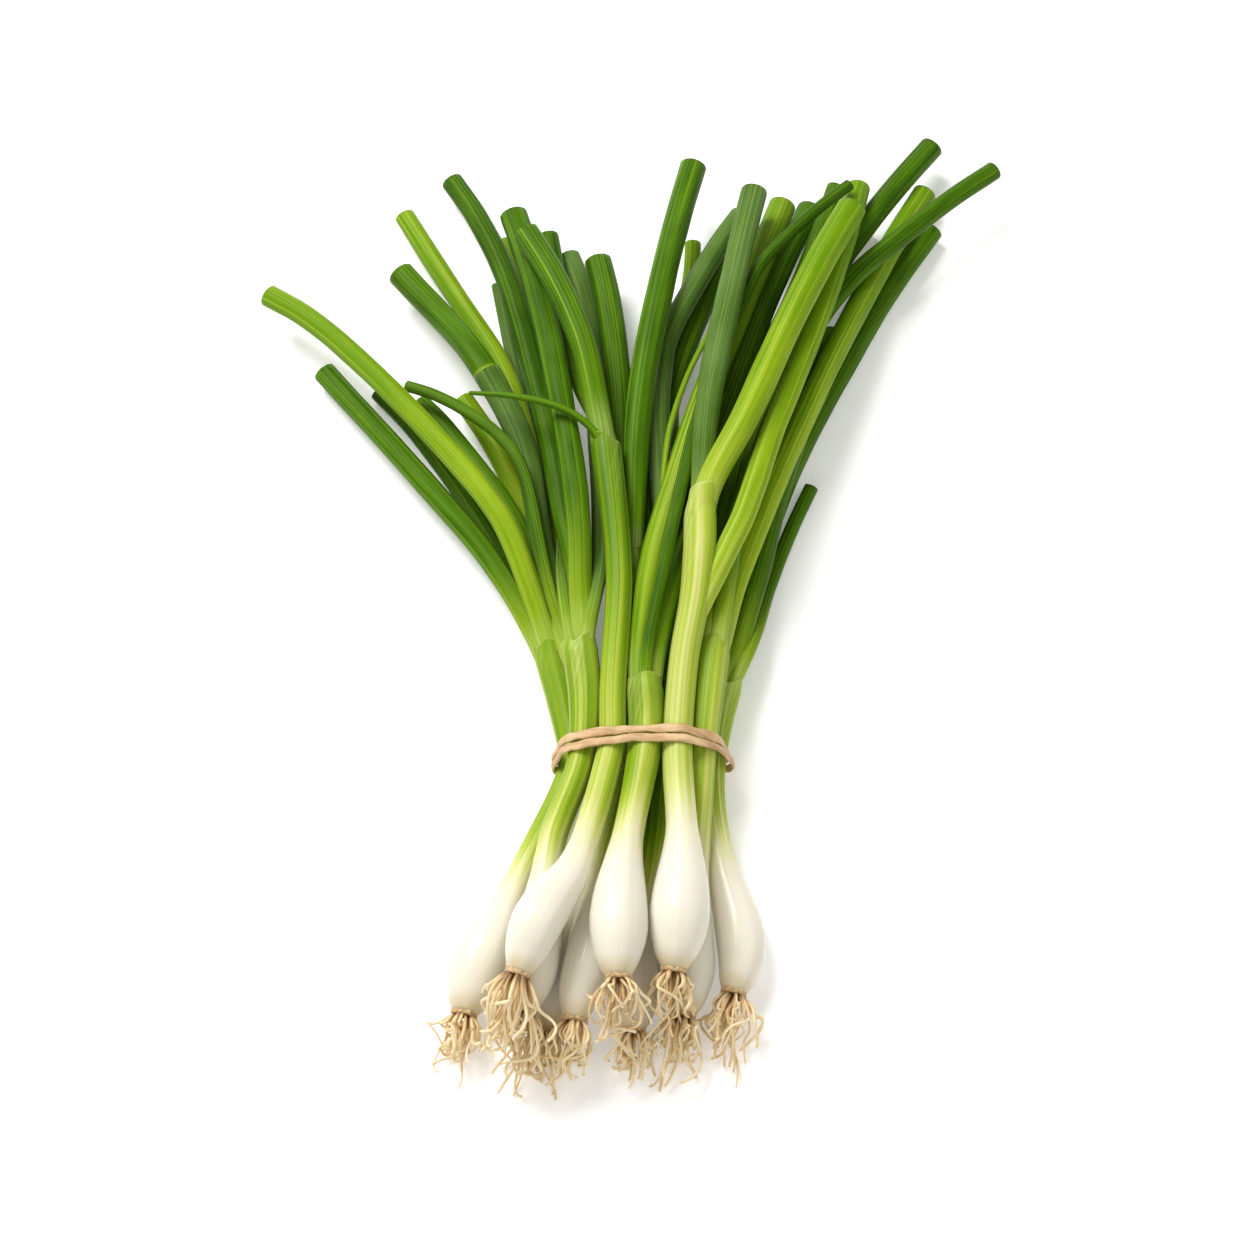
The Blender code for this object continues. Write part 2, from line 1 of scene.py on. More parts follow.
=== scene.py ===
"""Looks of a tied bunch of spring onions that lies on a table.

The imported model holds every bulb, root tuft and leaf as a plain tube, and the rubber band as a plain
loop. The rings of each bulb and leaf are read back as a strand: a middle line with a radius at each
point. The finished pieces are made on those strands, so that each stays in its tube's place:

- a bulb and stem is a fine skin with lengthwise ribs, which ends in a sheath drawn round the leaves;
- a leaf is swept along its strand by a node tree, hollow at its cut tip;
- a root tuft is a root plate at the strand's foot, with wavy roots grown by a second node tree;
- the rubber band is its own loop, rounded and wrinkled by a third.
"""
import logging
import math
from dataclasses import dataclass, field
from enum import Enum
from typing import Any

import bmesh
import bpy
import numpy as np
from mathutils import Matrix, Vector


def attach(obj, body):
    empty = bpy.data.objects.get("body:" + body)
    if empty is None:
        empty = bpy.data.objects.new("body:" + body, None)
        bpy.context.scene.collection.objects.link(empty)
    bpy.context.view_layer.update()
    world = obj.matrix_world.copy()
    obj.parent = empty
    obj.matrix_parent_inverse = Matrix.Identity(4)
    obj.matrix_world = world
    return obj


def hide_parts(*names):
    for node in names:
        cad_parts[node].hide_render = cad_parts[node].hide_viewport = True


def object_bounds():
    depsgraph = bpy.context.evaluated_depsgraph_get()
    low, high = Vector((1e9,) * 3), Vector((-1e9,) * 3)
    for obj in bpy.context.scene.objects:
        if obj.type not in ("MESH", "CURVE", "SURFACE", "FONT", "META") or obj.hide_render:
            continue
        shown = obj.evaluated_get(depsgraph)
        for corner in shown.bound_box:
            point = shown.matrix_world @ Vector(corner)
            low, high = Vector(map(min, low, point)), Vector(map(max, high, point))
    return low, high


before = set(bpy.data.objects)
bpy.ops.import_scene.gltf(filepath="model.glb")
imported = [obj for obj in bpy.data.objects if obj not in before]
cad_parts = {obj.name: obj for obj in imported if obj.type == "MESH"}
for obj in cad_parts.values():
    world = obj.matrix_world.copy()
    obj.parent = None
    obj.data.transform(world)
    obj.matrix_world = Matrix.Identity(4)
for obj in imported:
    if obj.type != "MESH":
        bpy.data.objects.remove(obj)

CAD_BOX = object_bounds()
BODY = "root"
TAU = 2 * math.pi
GOLDEN_ANGLE = math.pi * (3 - math.sqrt(5))
TOUCHING = 1e-6         # points closer than this are one
GRAIN_RADIUS = 0.005    # lengthwise patterns are laid out on a tube of this radius
STEM_SIDES = 44         # corners round a skin and round a root plate

Colour = tuple[float, float, float, float]
Grain = tuple[float, float, float]      # marks a metre: the first two across a piece, the third along it

log = logging.getLogger("spring_onions")


class Tint(Enum):
    """Leaf colours, each with the record's material slot that it belongs to."""

    GREEN = "leaf_green"
    BLUISH = "leaf_bluish"
    YELLOW = "leaf_yellow_green"


def colour(red: int, green: int, blue: int) -> Colour:
    """A screen colour from 0 to 255 as a linear one.

    Args:
        red, green, blue: The screen colour.

    Returns:
        Linear red, green, blue and an alpha of 1.
    """
    def linear(part: int) -> float:
        """One channel of it."""
        share = part / 255
        return share / 12.92 if share <= 0.04045 else ((share + 0.055) / 1.055) ** 2.4
    return linear(red), linear(green), linear(blue), 1.0


def fixed(size: float) -> Any:
    """A dataclass field that every object of its class shares."""
    return field(default=size, init=False)


# --- node trees ------------------------------------------------------------------------------------------
class Wire:
    """An output socket. Numbers take part in sums, each of which adds its Math node."""

    def __init__(self, net: "Net", socket: bpy.types.NodeSocket) -> None:
        """Wrap one output socket of a net."""
        self.net = net
        self.socket = socket

    def __add__(self, other: Any) -> "Wire":
        """This plus other."""
        return self.net.maths("ADD", self, other)

    __radd__ = __add__

    def __sub__(self, other: Any) -> "Wire":
        """This minus other."""
        return self.net.maths("SUBTRACT", self, other)

    def __rsub__(self, other: Any) -> "Wire":
        """Other minus this."""
        return self.net.maths("SUBTRACT", other, self)

    def __mul__(self, other: Any) -> "Wire":
        """This times other."""
        return self.net.maths("MULTIPLY", self, other)

    __rmul__ = __mul__

    def __truediv__(self, other: Any) -> "Wire":
        """This over other."""
        return self.net.maths("DIVIDE", self, other)

    def __rtruediv__(self, other: Any) -> "Wire":
        """Other over this."""
        return self.net.maths("DIVIDE", other, self)

    def __pow__(self, other: Any) -> "Wire":
        """This to the power of other."""
        return self.net.maths("POWER", self, other)

    def __rpow__(self, other: Any) -> "Wire":
        """Other to the power of this."""
        return self.net.maths("POWER", other, self)

    def step(self, low: float, high: float) -> "Wire":
        """A smooth step from 0 at low to 1 at high."""
        return self.net.node("ShaderNodeMapRange", {"interpolation_type": "SMOOTHSTEP"},
                             {"Value": self, "From Min": low, "From Max": high})


class Net:
    """A node tree that is being written."""

    def __init__(self, tree: bpy.types.NodeTree) -> None:
        """Start on an empty tree."""
        self.tree = tree
        tree.nodes.clear()

    def node(self, kind: str, settings: dict[str, Any] | None = None,
             inputs: dict[Any, Any] | None = None, result: Any = 0) -> Wire | None:
        """Add a node, set it and feed its sockets.

        Args:
            kind: The node's type.
            settings: Its own settings; "stops" are a ramp's, "items" are captured attributes.
            inputs: Values or wires, by socket name or number.
            result: Name or number of the output to return.

        Returns:
            The wire of that output, if the node has any; other outputs come from take().
        """
        made = self.tree.nodes.new(kind)
        for name, value in (settings or {}).items():
            if name == "stops":
                self._stops(made.color_ramp, value)
            elif name == "items":
                for item, data_type in value.items():
                    made.capture_items.new(data_type, item)
            else:
                setattr(made, name, value)
        for name, value in (inputs or {}).items():
            socket = self._find(made.inputs, name)
            if isinstance(value, Wire):
                self.tree.links.new(value.socket, socket)
            else:
                socket.default_value = value
        if not made.outputs:
            return None
        return Wire(self, self._find(made.outputs, result))

    @staticmethod
    def _find(sockets: Any, name: Any) -> bpy.types.NodeSocket:
        """The enabled socket of that name or number.

        Args:
            sockets: A node's inputs or outputs.
            name: Its name, or its number among the enabled ones.

        Returns:
            The socket.
        """
        usable = [socket for socket in sockets if socket.enabled]
        if isinstance(name, int):
            return usable[name]
        return next(socket for socket in usable if socket.name == name)

    @staticmethod
    def _stops(ramp: bpy.types.ColorRamp, stops: list[tuple[float, Colour]]) -> None:
        """Set a ramp's stops.

        Args:
            ramp: The ramp.
            stops: Pairs of place and colour.
        """
        while len(ramp.elements) < len(stops):
            ramp.elements.new(1.0)
        for element, (place, shade) in zip(ramp.elements, stops):
            element.position = place
            element.color = shade

    def take(self, wire: Wire, name: Any) -> Wire:
        """Another output of the node behind a wire."""
        return Wire(self, self._find(wire.socket.node.outputs, name))

    def maths(self, operation: str, *values: Any) -> Wire:
        """A Math node of one, two or three numbers."""
        return self.node("ShaderNodeMath", {"operation": operation}, dict(enumerate(values)))

    def vector(self, operation: str, *vectors: Any) -> Wire:
        """A Vector Math node of one or two vectors."""
        return self.node("ShaderNodeVectorMath", {"operation": operation}, dict(enumerate(vectors)))

    def scale(self, vector: Any, factor: Any) -> Wire:
        """A vector times a number."""
        return self.node("ShaderNodeVectorMath", {"operation": "SCALE"}, {0: vector, "Scale": factor})

    def blend(self, factor: Any, first: Any, second: Any) -> Wire:
        """Mix two colours."""
        return self.node("ShaderNodeMix", {"data_type": "RGBA"}, {"Factor": factor, "A": first, "B": second})

    def noise(self, place: Wire, scale: float = 1.0, detail: float = 2.0, result: Any = 0) -> Wire:
        """The strength of a noise at a place, about 0.5, or its colour."""
        inputs = {"Vector": place, "Scale": scale, "Detail": detail}
        return self.node("ShaderNodeTexNoise", {}, inputs, result)

    def drawn_out(self, place: Wire, grain: Grain, detail: float = 2.0) -> Wire:
        """A noise with so many marks a metre each way, so that they are long where it has few."""
        return self.noise(self.vector("MULTIPLY", place, grain), detail=detail)


class ShaderNet(Net):
    """The node tree of one material."""

    def __init__(self, name: str) -> None:
        """Start a new material.

        Args:
            name: Its name.
        """
        self.material = bpy.data.materials.new(name)
        self.material.use_nodes = True
        super().__init__(self.material.node_tree)

    def reading(self, name: str, result: str = "Fac") -> Wire:
        """An attribute that the piece carries."""
        return self.node("ShaderNodeAttribute", {"attribute_name": name}, {}, result)

    def place(self) -> Wire:
        """Where each point of the piece lies."""
        return self.node("ShaderNodeTexCoord", {}, {}, "Object")

    def greening(self, amount: Wire) -> Wire:
        """The colour of a stem that is so green, from the white bulb at 0 to the dark leaf at 1."""
        return self.node("ShaderNodeValToRGB", {"stops": GREENING}, {"Fac": amount}, "Color")

    def finish(self, settings: dict[str, Any], relief: Wire | None = None, depth: float = 0.0,
               strength: float = 0.0) -> bpy.types.Material:
        """Close the material with a Principled shader.

        Args:
            settings: The shader's values and wires.
            relief: A height that its bump follows.
            depth: How high the relief stands, in metres.
            strength: How strongly it shows.

        Returns:
            The material.
        """
        if relief is not None:
            bump = {"Strength": strength, "Distance": depth, "Height": relief}
            settings["Normal"] = self.node("ShaderNodeBump", {}, bump)
        shader = self.node("ShaderNodeBsdfPrincipled", {}, settings)
        self.node("ShaderNodeOutputMaterial", {}, {"Surface": shader})
        return self.material


class GrowNet(Net):
    """A Geometry Nodes tree with named inputs."""

    SOCKETS = {float: "NodeSocketFloat", int: "NodeSocketInt", Vector: "NodeSocketVector",
               bpy.types.Material: "NodeSocketMaterial"}

    def __init__(self, name: str, **inputs: type) -> None:
        """Start a tree.

        Args:
            name: Its name.
            inputs: The type of each input besides the geometry, by name.
        """
        super().__init__(bpy.data.node_groups.new(name, "GeometryNodeTree"))
        interface = self.tree.interface
        interface.new_socket("Geometry", in_out="INPUT", socket_type="NodeSocketGeometry")
        interface.new_socket("Geometry", in_out="OUTPUT", socket_type="NodeSocketGeometry")
        for label, kind in inputs.items():
            interface.new_socket(label, in_out="INPUT", socket_type=self.SOCKETS[kind])
        self.source = self.node("NodeGroupInput")

    def value(self, name: str) -> Wire:
        """One of the tree's inputs."""
        return self.take(self.source, name)

    def position(self) -> Wire:
        """Where each point of the geometry lies."""
        return self.node("GeometryNodeInputPosition")

    def stored(self, name: str, data_type: str = "FLOAT") -> Wire:
        """A named attribute of the geometry."""
        return self.node("GeometryNodeInputNamedAttribute", {"data_type": data_type}, {"Name": name})

    def store(self, geometry: Wire, name: str, value: Any, data_type: str = "FLOAT") -> Wire:
        """Store a named attribute on the geometry's points."""
        return self.node("GeometryNodeStoreNamedAttribute", {"data_type": data_type, "domain": "POINT"},
                         {"Geometry": geometry, "Name": name, "Value": value})

    def capture(self, geometry: Wire, **values: tuple[str, Wire]) -> list[Wire]:
        """Hold on to values that a later step would change.

        Args:
            geometry: What they are read on.
            values: Each value's type and wire, by name.

        Returns:
            The geometry, and each value as it was there.
        """
        items = {name: data_type for name, (data_type, _) in values.items()}
        wires = {name: wire for name, (_, wire) in values.items()}
        held = self.node("GeometryNodeCaptureAttribute", {"items": items}, {"Geometry": geometry, **wires})
        return [held] + [self.take(held, name) for name in values]

    def move(self, geometry: Wire, offset: Wire) -> Wire:
        """Move the geometry's points."""
        return self.node("GeometryNodeSetPosition", {}, {"Geometry": geometry, "Offset": offset})

    def circle(self, sides: int) -> Wire:
        """A round profile with a radius of 1."""
        return self.node("GeometryNodeCurvePrimitiveCircle", {"mode": "RADIUS"},
                         {"Resolution": sides, "Radius": 1.0})

    def random(self, low: float, high: float, seed: Any) -> Wire:
        """A random number for each point."""
        return self.node("FunctionNodeRandomValue", {"data_type": "FLOAT"},
                         {"Min": low, "Max": high, "Seed": seed})

    def close(self, geometry: Wire) -> None:
        """End the tree: instances are made real and the material is set.

        Args:
            geometry: What the tree has made.
        """
        real = self.node("GeometryNodeRealizeInstances", {}, {"Geometry": geometry})
        dressed = self.node("GeometryNodeSetMaterial", {},
                            {"Geometry": real, "Material": self.value("Material")})
        self.node("NodeGroupOutput", {}, {"Geometry": dressed})

    def grow(self, name: str, start: bpy.types.Mesh, values: dict[str, Any]) -> bpy.types.Object:
        """Run the tree on a mesh and keep the result as a plain mesh.

        Args:
            name: Name of the piece.
            start: The mesh that the tree starts from.
            values: The tree's inputs by name.

        Returns:
            The piece.
        """
        seedling = bpy.data.objects.new(name + "_start", start)
        bpy.context.scene.collection.objects.link(seedling)
        modifier = seedling.modifiers.new("grow", "NODES")
        modifier.node_group = self.tree
        for item in self.tree.interface.items_tree:
            if item.name in values:
                modifier[item.identifier] = values[item.name]
        evaluated = seedling.evaluated_get(bpy.context.evaluated_depsgraph_get())
        mesh = bpy.data.meshes.new_from_object(evaluated)
        seedling.modifiers.remove(modifier)
        bpy.data.objects.remove(seedling)
        return new_piece(name, mesh)


# --- finishes --------------------------------------------------------------------------------------------
# From the white bulb to the dark leaf, as stops of a ramp.
GREENING = [
    (0.00, colour(233, 229, 214)),
    (0.14, colour(229, 225, 192)),
    (0.32, colour(208, 212, 136)),
    (0.50, colour(170, 188, 60)),
    (0.66, colour(130, 162, 22)),
    (0.82, colour(88, 128, 4)),
    (1.00, colour(50, 90, 0)),
]
PALE_FIBRE = colour(216, 222, 148)      # where leaves part, on the stem and at the foot of a leaf


@dataclass(frozen=True)
class SkinFinish:
    """Glossy ivory bulb skin that turns green up the stem, with fine lengthwise stripes.

    The pieces carry tone, how green they are; calm, how faint the stripes are; and rim, how plainly
    the pale fibres of the fork show.
    """

    name: str = "onion_skin"
    fine: Grain = (1500.0, 1500.0, 9.0)
    broad: Grain = (270.0, 270.0, 4.0)
    hairs: Grain = (2300.0, 2300.0, 6.0)
    fibres: Grain = (1000.0, 1000.0, 8.0)
    stripe: float = 0.6                     # how far a stripe shifts the green
    heel: float = 0.007                     # height of the tan heel over the root plate
    tan: Colour = colour(206, 184, 132)
    roughness: float = 0.26
    relief: float = 0.00014

    def material(self) -> bpy.types.Material:
        """Make it.

        Returns:
            The material.
        """
        net = ShaderNet(self.name)
        grain = net.reading("grain", "Vector")
        tone = net.reading("tone")
        fine = net.drawn_out(grain, self.fine)
        broad = net.drawn_out(grain, self.broad)
        hairs = net.drawn_out(grain, self.hairs, 1.0)
        stripes = ((fine - 0.5) * 0.7 + (broad - 0.5) * 1.2) * (1 - net.reading("calm"))
        stripes = stripes + (hairs - 0.5) * 0.35
        shade = net.greening(tone - stripes * self.stripe * tone.step(0.0, 0.4))
        along = net.node("ShaderNodeSeparateXYZ", {}, {0: grain}, "Z")
        cloud = net.noise(net.place(), 70.0).step(0.5, 0.9)
        threads = (fine * 0.5 + broad * 0.5).step(0.50, 0.66)
        warmth = (1 - along.step(0.0, self.heel)) * 0.65 + cloud * 0.08 + threads * 0.12
        fibres = net.drawn_out(net.reading("weave", "Vector"), self.fibres, 1.0)
        scar = net.reading("rim") * (fibres.step(0.45, 0.7) * 0.75 + 0.24)
        skin = net.blend(scar, net.blend(warmth, shade, self.tan), PALE_FIBRE)
        return net.finish({
            "Base Color": skin, "Roughness": tone * 0.22 + self.roughness, "IOR": 1.45,
            "Subsurface Weight": 0.4, "Subsurface Radius": (1.0, 0.80, 0.45), "Subsurface Scale": 0.005,
            "Specular IOR Level": 0.2, "Specular Tint": (1.0, 1.0, 0.8, 1.0),
            "Coat Weight": (1 - tone.step(0.0, 0.5)) * 0.30 + 0.02, "Coat Roughness": 0.12, "Coat IOR": 1.45,
        }, stripes, self.relief, 0.35)


@dataclass(frozen=True)
class LeafFinish:
    """Satin leaf with veins, long pale streaks and a bloom. It pales towards the fork.

    The pieces carry tone, 0 at the fork and 1 where it is full leaf; fork, how green the stem is
    there; facet, how far round from the ridge a point lies, by which one flank is painted lighter, as
    if lit, and the other darker, as if in shade; keel, for the ridge between them, painted a little
    paler as a highlight; run, the distance along it; cut, for the wall of its open tip; and mood, how
    much lighter it is than its kind.
    """

    name: str
    deep: Colour
    lit: Colour
    pale: Colour
    bloom: float                            # how plainly its bloom shows
    streak: float                           # how plainly its pale streaks show
    roughness: float = 0.40
    crease_shade: float = 0.7                     # painted shade: how much lighter one flank is painted than the other, as if one side were lit
    darkening: float = 0.12                 # how much darker it is towards its tip
    veins: Grain = (1350.0, 1350.0, 7.0)
    broad: Grain = (290.0, 290.0, 3.5)
    patch: Grain = (240.0, 240.0, 55.0)
    fibres: Grain = (2300.0, 2300.0, 6.0)
    contrast: float = 1.3                   # how far veins and patches go between deep and lit
    thread: float = 0.30                    # how plainly single fibres show
    dusty: Colour = colour(120, 152, 96)
    cut_wall: Colour = colour(150, 172, 70)
    relief: float = 0.00018

    def material(self) -> bpy.types.Material:
        """Make it.

        Returns:
            The material.
        """
        net = ShaderNet(self.name)
        grain = net.reading("grain", "Vector")
        tone = net.reading("tone")
        veins = net.drawn_out(grain, self.veins)
        broad = net.drawn_out(grain, self.broad)
        patch = net.drawn_out(grain, self.patch, 3.0)
        fibres = net.drawn_out(grain, self.fibres, 1.0)
        cloud = net.noise(net.place(), 45.0)
        blade = self._grown(net, veins, broad, patch, fibres)
        blade = net.blend(cloud.step(0.35, 0.75) * self.bloom, blade, self.dusty)
        blade = net.blend(tone, self._young(net, tone, veins, broad), blade)
        blade = net.blend(net.reading("cut") * 0.7, blade, self.cut_wall)
        height = veins * 0.8 + broad * 0.4 + patch * 0.3 + fibres * 0.4
        return net.finish({
            "Base Color": blade, "Roughness": cloud * 0.14 + self.roughness, "IOR": 1.42,
            "Specular IOR Level": 0.16, "Specular Tint": (0.92, 1.0, 0.5, 1.0),
        }, height, self.relief, 0.6)

    def _grown(self, net: ShaderNet, veins: Wire, broad: Wire, patch: Wire, fibres: Wire) -> Wire:
        """The colour of the full leaf, from its patterns, with painted shade on one flank and a painted
        highlight on its ridge.

        Args:
            net: The material's tree.
            veins, broad, patch, fibres: The patterns.

        Returns:
            The colour.
        """
        # painted shade: one flank lighter, as if lit, and the other darker, as if in shade; mood and
        # darkening are the leaf's own colour
        light = ((net.reading("facet") - 0.5) * self.crease_shade + net.reading("mood")
                 - (net.reading("run").step(0.05, 0.17) - 0.35) * self.darkening)
        mottle = (veins - 0.5) * self.contrast + (broad - 0.5) * self.contrast + (patch - 0.5) * self.contrast
        body = net.blend(mottle + light + 0.5, self.deep, self.lit)
        # keel: a painted highlight, a little paler along the leaf's ridge
        streaks = (broad * 0.5 + veins * 0.5).step(0.53, 0.68) * self.streak + net.reading("keel") * 0.10
        streaked = net.blend(streaks, body, self.pale)
        streaked = net.blend(fibres.step(0.56, 0.68) * self.thread, streaked, self.pale)
        return net.blend((1 - fibres.step(0.32, 0.44)) * self.thread, streaked, self.deep)

    @staticmethod
    def _young(net: ShaderNet, tone: Wire, veins: Wire, broad: Wire) -> Wire:
        """The colour at the foot of the leaf: the stem's own, with pale fibres that soon end.

        Args:
            net: The material's tree.
            tone: How full the leaf is.
            veins, broad: The patterns.

        Returns:
            The colour.
        """
        lines = ((veins - 0.5) * 0.8 + (broad - 0.5) * 0.8) * 0.6 * tone.step(0.02, 0.4)
        foot = (1 - tone.step(0.0, 0.3)) * (veins.step(0.45, 0.7) * 0.35 + 0.10)
        return net.blend(foot, net.greening(net.reading("fork") - lines), PALE_FIBRE)


@dataclass(frozen=True)
class RootFinish:
    """Matte cream root, with painted shade: gold deep in the tuft and dark brown near the root plate.

    The pieces carry along, the share of the root's length; and share, how far out on the plate it starts.
    """

    name: str = "root_fibre"
    cream: Colour = colour(238, 212, 156)
    light: Colour = colour(255, 244, 212)
    # painted shade deep in the tuft
    tuft_shade: Colour = colour(208, 158, 74)
    # painted shadow between the roots near the root plate
    brown: Colour = colour(116, 70, 28)

    def material(self) -> bpy.types.Material:
        """Make it.

        Returns:
            The material.
        """
        net = ShaderNet(self.name)
        mottle = net.noise(net.place(), 420.0, 3.0)
        along = net.reading("along")
        # painted shade: gold on the inner roots and towards their starts, and a dark brown painted shadow
        # right at the plate
        shade_deep_in_tuft = (1 - along.step(0.0, 0.55)) * 0.45 + (1 - net.reading("share")) * 0.4
        shade = net.blend(shade_deep_in_tuft, net.blend(mottle, self.cream, self.light), self.tuft_shade)
        shade = net.blend((1 - along.step(0.02, 0.2)) * 0.8, shade, self.brown)
        return net.finish({"Base Color": shade, "Roughness": 0.62, "Subsurface Weight": 0.1,
                           "Subsurface Scale": 0.001}, mottle, 0.0001, 0.5)


@dataclass(frozen=True)
class PlateFinish:
    """Rough tan root plate with a brown middle, where the pieces' inner attribute is 1."""

    name: str = "root_plate"
    tan: Colour = colour(186, 146, 96)
    pale: Colour = colour(226, 200, 156)
    brown: Colour = colour(104, 64, 34)

    def material(self) -> bpy.types.Material:
        """Make it.

        Returns:
            The material.
        """
        net = ShaderNet(self.name)
        crumb = net.noise(net.place(), 900.0, 4.0)
        rim = net.blend(crumb.step(0.3, 0.75), self.tan, self.pale)
        shade = net.blend(net.reading("inner"), rim, self.brown)
        return net.finish({"Base Color": shade, "Roughness": 0.8}, crumb, 0.0004, 0.8)


@dataclass(frozen=True)
class RubberFinish:
    """Matte tan rubber with slight wrinkles along its pull, a little askew, with painted shade along the
    wrinkles.
    """

    name: str = "natural_rubber"
    creases: Grain = (70.0, 1300.0, 70.0)
    askew: float = 0.16                     # angle between the wrinkles and the row's X
    tan: Colour = colour(196, 158, 112)
    pale: Colour = colour(226, 194, 148)
    # painted shade in the wrinkles
    fold_shade: Colour = colour(160, 116, 74)

    def material(self) -> bpy.types.Material:
        """Make it.

        Returns:
            The material.
        """
        net = ShaderNet(self.name)
        place = net.place()
        cloud = net.noise(place, 160.0, 3.0)
        turned = net.node("ShaderNodeVectorRotate", {"rotation_type": "Z_AXIS"},
                          {"Vector": place, "Angle": self.askew})
        crease_shade = net.drawn_out(turned, self.creases)
        shade = net.blend(cloud.step(0.3, 0.75), self.tan, self.pale)
        # painted shade: darker along the wrinkles
        shade = net.blend(crease_shade.step(0.52, 0.62) * 0.5, shade, self.fold_shade)
        return net.finish({"Base Color": shade, "Roughness": cloud * 0.15 + 0.48}, crease_shade, 0.0003, 0.6)


@dataclass(frozen=True)
class TableFinish:
    """Plain pale table."""

    name: str = "pale_table"
    pale: Colour = colour(250, 250, 249)
    light: Colour = colour(252, 252, 252)

    def material(self) -> bpy.types.Material:
        """Make it.

        Returns:
            The material.
        """
        net = ShaderNet(self.name)
        shade = net.blend(net.noise(net.place(), 3.0), self.pale, self.light)
        return net.finish({"Base Color": shade, "Roughness": 0.9, "Emission Color": (1.0, 1.0, 1.0, 1.0),
                           "Emission Strength": 0.2})


LEAF_FINISHES = {
    Tint.GREEN: LeafFinish("leaf_green", deep=colour(38, 74, 0), lit=colour(80, 124, 4),
                           pale=colour(140, 172, 52), bloom=0.02, streak=0.3),
    Tint.BLUISH: LeafFinish("leaf_bluish", deep=colour(50, 82, 12), lit=colour(92, 124, 46),
                            pale=colour(146, 168, 104), bloom=0.25, streak=0.35, roughness=0.44),
    # the yellow leaves get the strongest painted shade between their flanks
    Tint.YELLOW: LeafFinish("leaf_yellow_green", deep=colour(96, 136, 4), lit=colour(146, 174, 26),
                            pale=colour(200, 210, 100), bloom=0.0, streak=0.5, crease_shade=1.0, darkening=0.75),
}


class Wardrobe:
    """Every finish as a material, made once."""

    def __init__(self) -> None:
        """Make them all."""
        self.skin = SkinFinish().material()
        self.roots = RootFinish().material()
        self.plate = PlateFinish().material()
        self.rubber = RubberFinish().material()
        self.table = TableFinish().material()
        self.leaves = {tint: finish.material() for tint, finish in LEAF_FINISHES.items()}


# --- strands and meshes ----------------------------------------------------------------------------------
def ease(value: Any) -> Any:
    """A smooth step from 0 to 1."""
    value = np.clip(value, 0.0, 1.0)
    return value * value * (3 - 2 * value)


def arc_length(points: np.ndarray) -> np.ndarray:
    """Distance along points, from the first."""
    return np.concatenate([[0.0], np.cumsum(np.linalg.norm(np.diff(points, axis=0), axis=1))])


def through(knots: np.ndarray, at: np.ndarray, wanted: np.ndarray) -> np.ndarray:
    """A smooth curve through knots.

    Args:
        knots: Values at the knots, one row each.
        at: The knots' distances.
        wanted: The distances to read.

    Returns:
        A row for each wanted distance.
    """
    steps = np.maximum(np.diff(at), 1e-9)
    slopes = np.empty_like(knots)
    slopes[1:-1] = (knots[2:] - knots[:-2]) / (at[2:] - at[:-2])[:, None]
    slopes[0] = (knots[1] - knots[0]) / steps[0]
    slopes[-1] = (knots[-1] - knots[-2]) / steps[-1]
    span = np.clip(np.searchsorted(at, wanted, side="right") - 1, 0, len(steps) - 1)
    length = steps[span][:, None]
    t = ((wanted - at[span]) / steps[span])[:, None]
    return ((2 * t**3 - 3 * t**2 + 1) * knots[span] + (t**3 - 2 * t**2 + t) * length * slopes[span]
            + (3 * t**2 - 2 * t**3) * knots[span + 1] + (t**3 - t**2) * length * slopes[span + 1])


def relax(points: np.ndarray, centre: int, before: int = 10, after: int = 28,
          rounds: int = 120) -> np.ndarray:
    """Round off the bend of a line near one of its points.

    Args:
        points: The line.
        centre: Number of the point.
        before, after: How many points on each side of it may move.
        rounds: How often each is drawn towards its neighbours.

    Returns:
        The rounded line, with its ends and its far parts as they were.
    """
    steps = np.arange(len(points)) - centre
    free = np.where(steps < 0, 1 - ease(-steps / before), 1 - ease(steps / after))[1:-1, None] * 0.5
    rounded = points.copy()
    for _ in range(rounds):
        middle = (rounded[:-2] + rounded[2:]) / 2
        rounded[1:-1] += (middle - rounded[1:-1]) * free
    return rounded


def directions(points: np.ndarray) -> tuple[np.ndarray, np.ndarray, np.ndarray]:
    """Directions at each point of a line.

    Args:
        points: The line.

    Returns:
        The directions ahead, sideways and upwards.
    """
    ahead = np.gradient(points, axis=0)
    ahead /= np.linalg.norm(ahead, axis=1)[:, None]
    side = np.cross(ahead, (0.0, 0.0, 1.0))
    side /= np.linalg.norm(side, axis=1)[:, None]
    return ahead, side, np.cross(side, ahead)


def around(turn: np.ndarray, side: np.ndarray, up: np.ndarray) -> np.ndarray:
    """The direction at each angle of a turn from side towards up."""
    return side * np.cos(turn)[:, None] + up * np.sin(turn)[:, None]


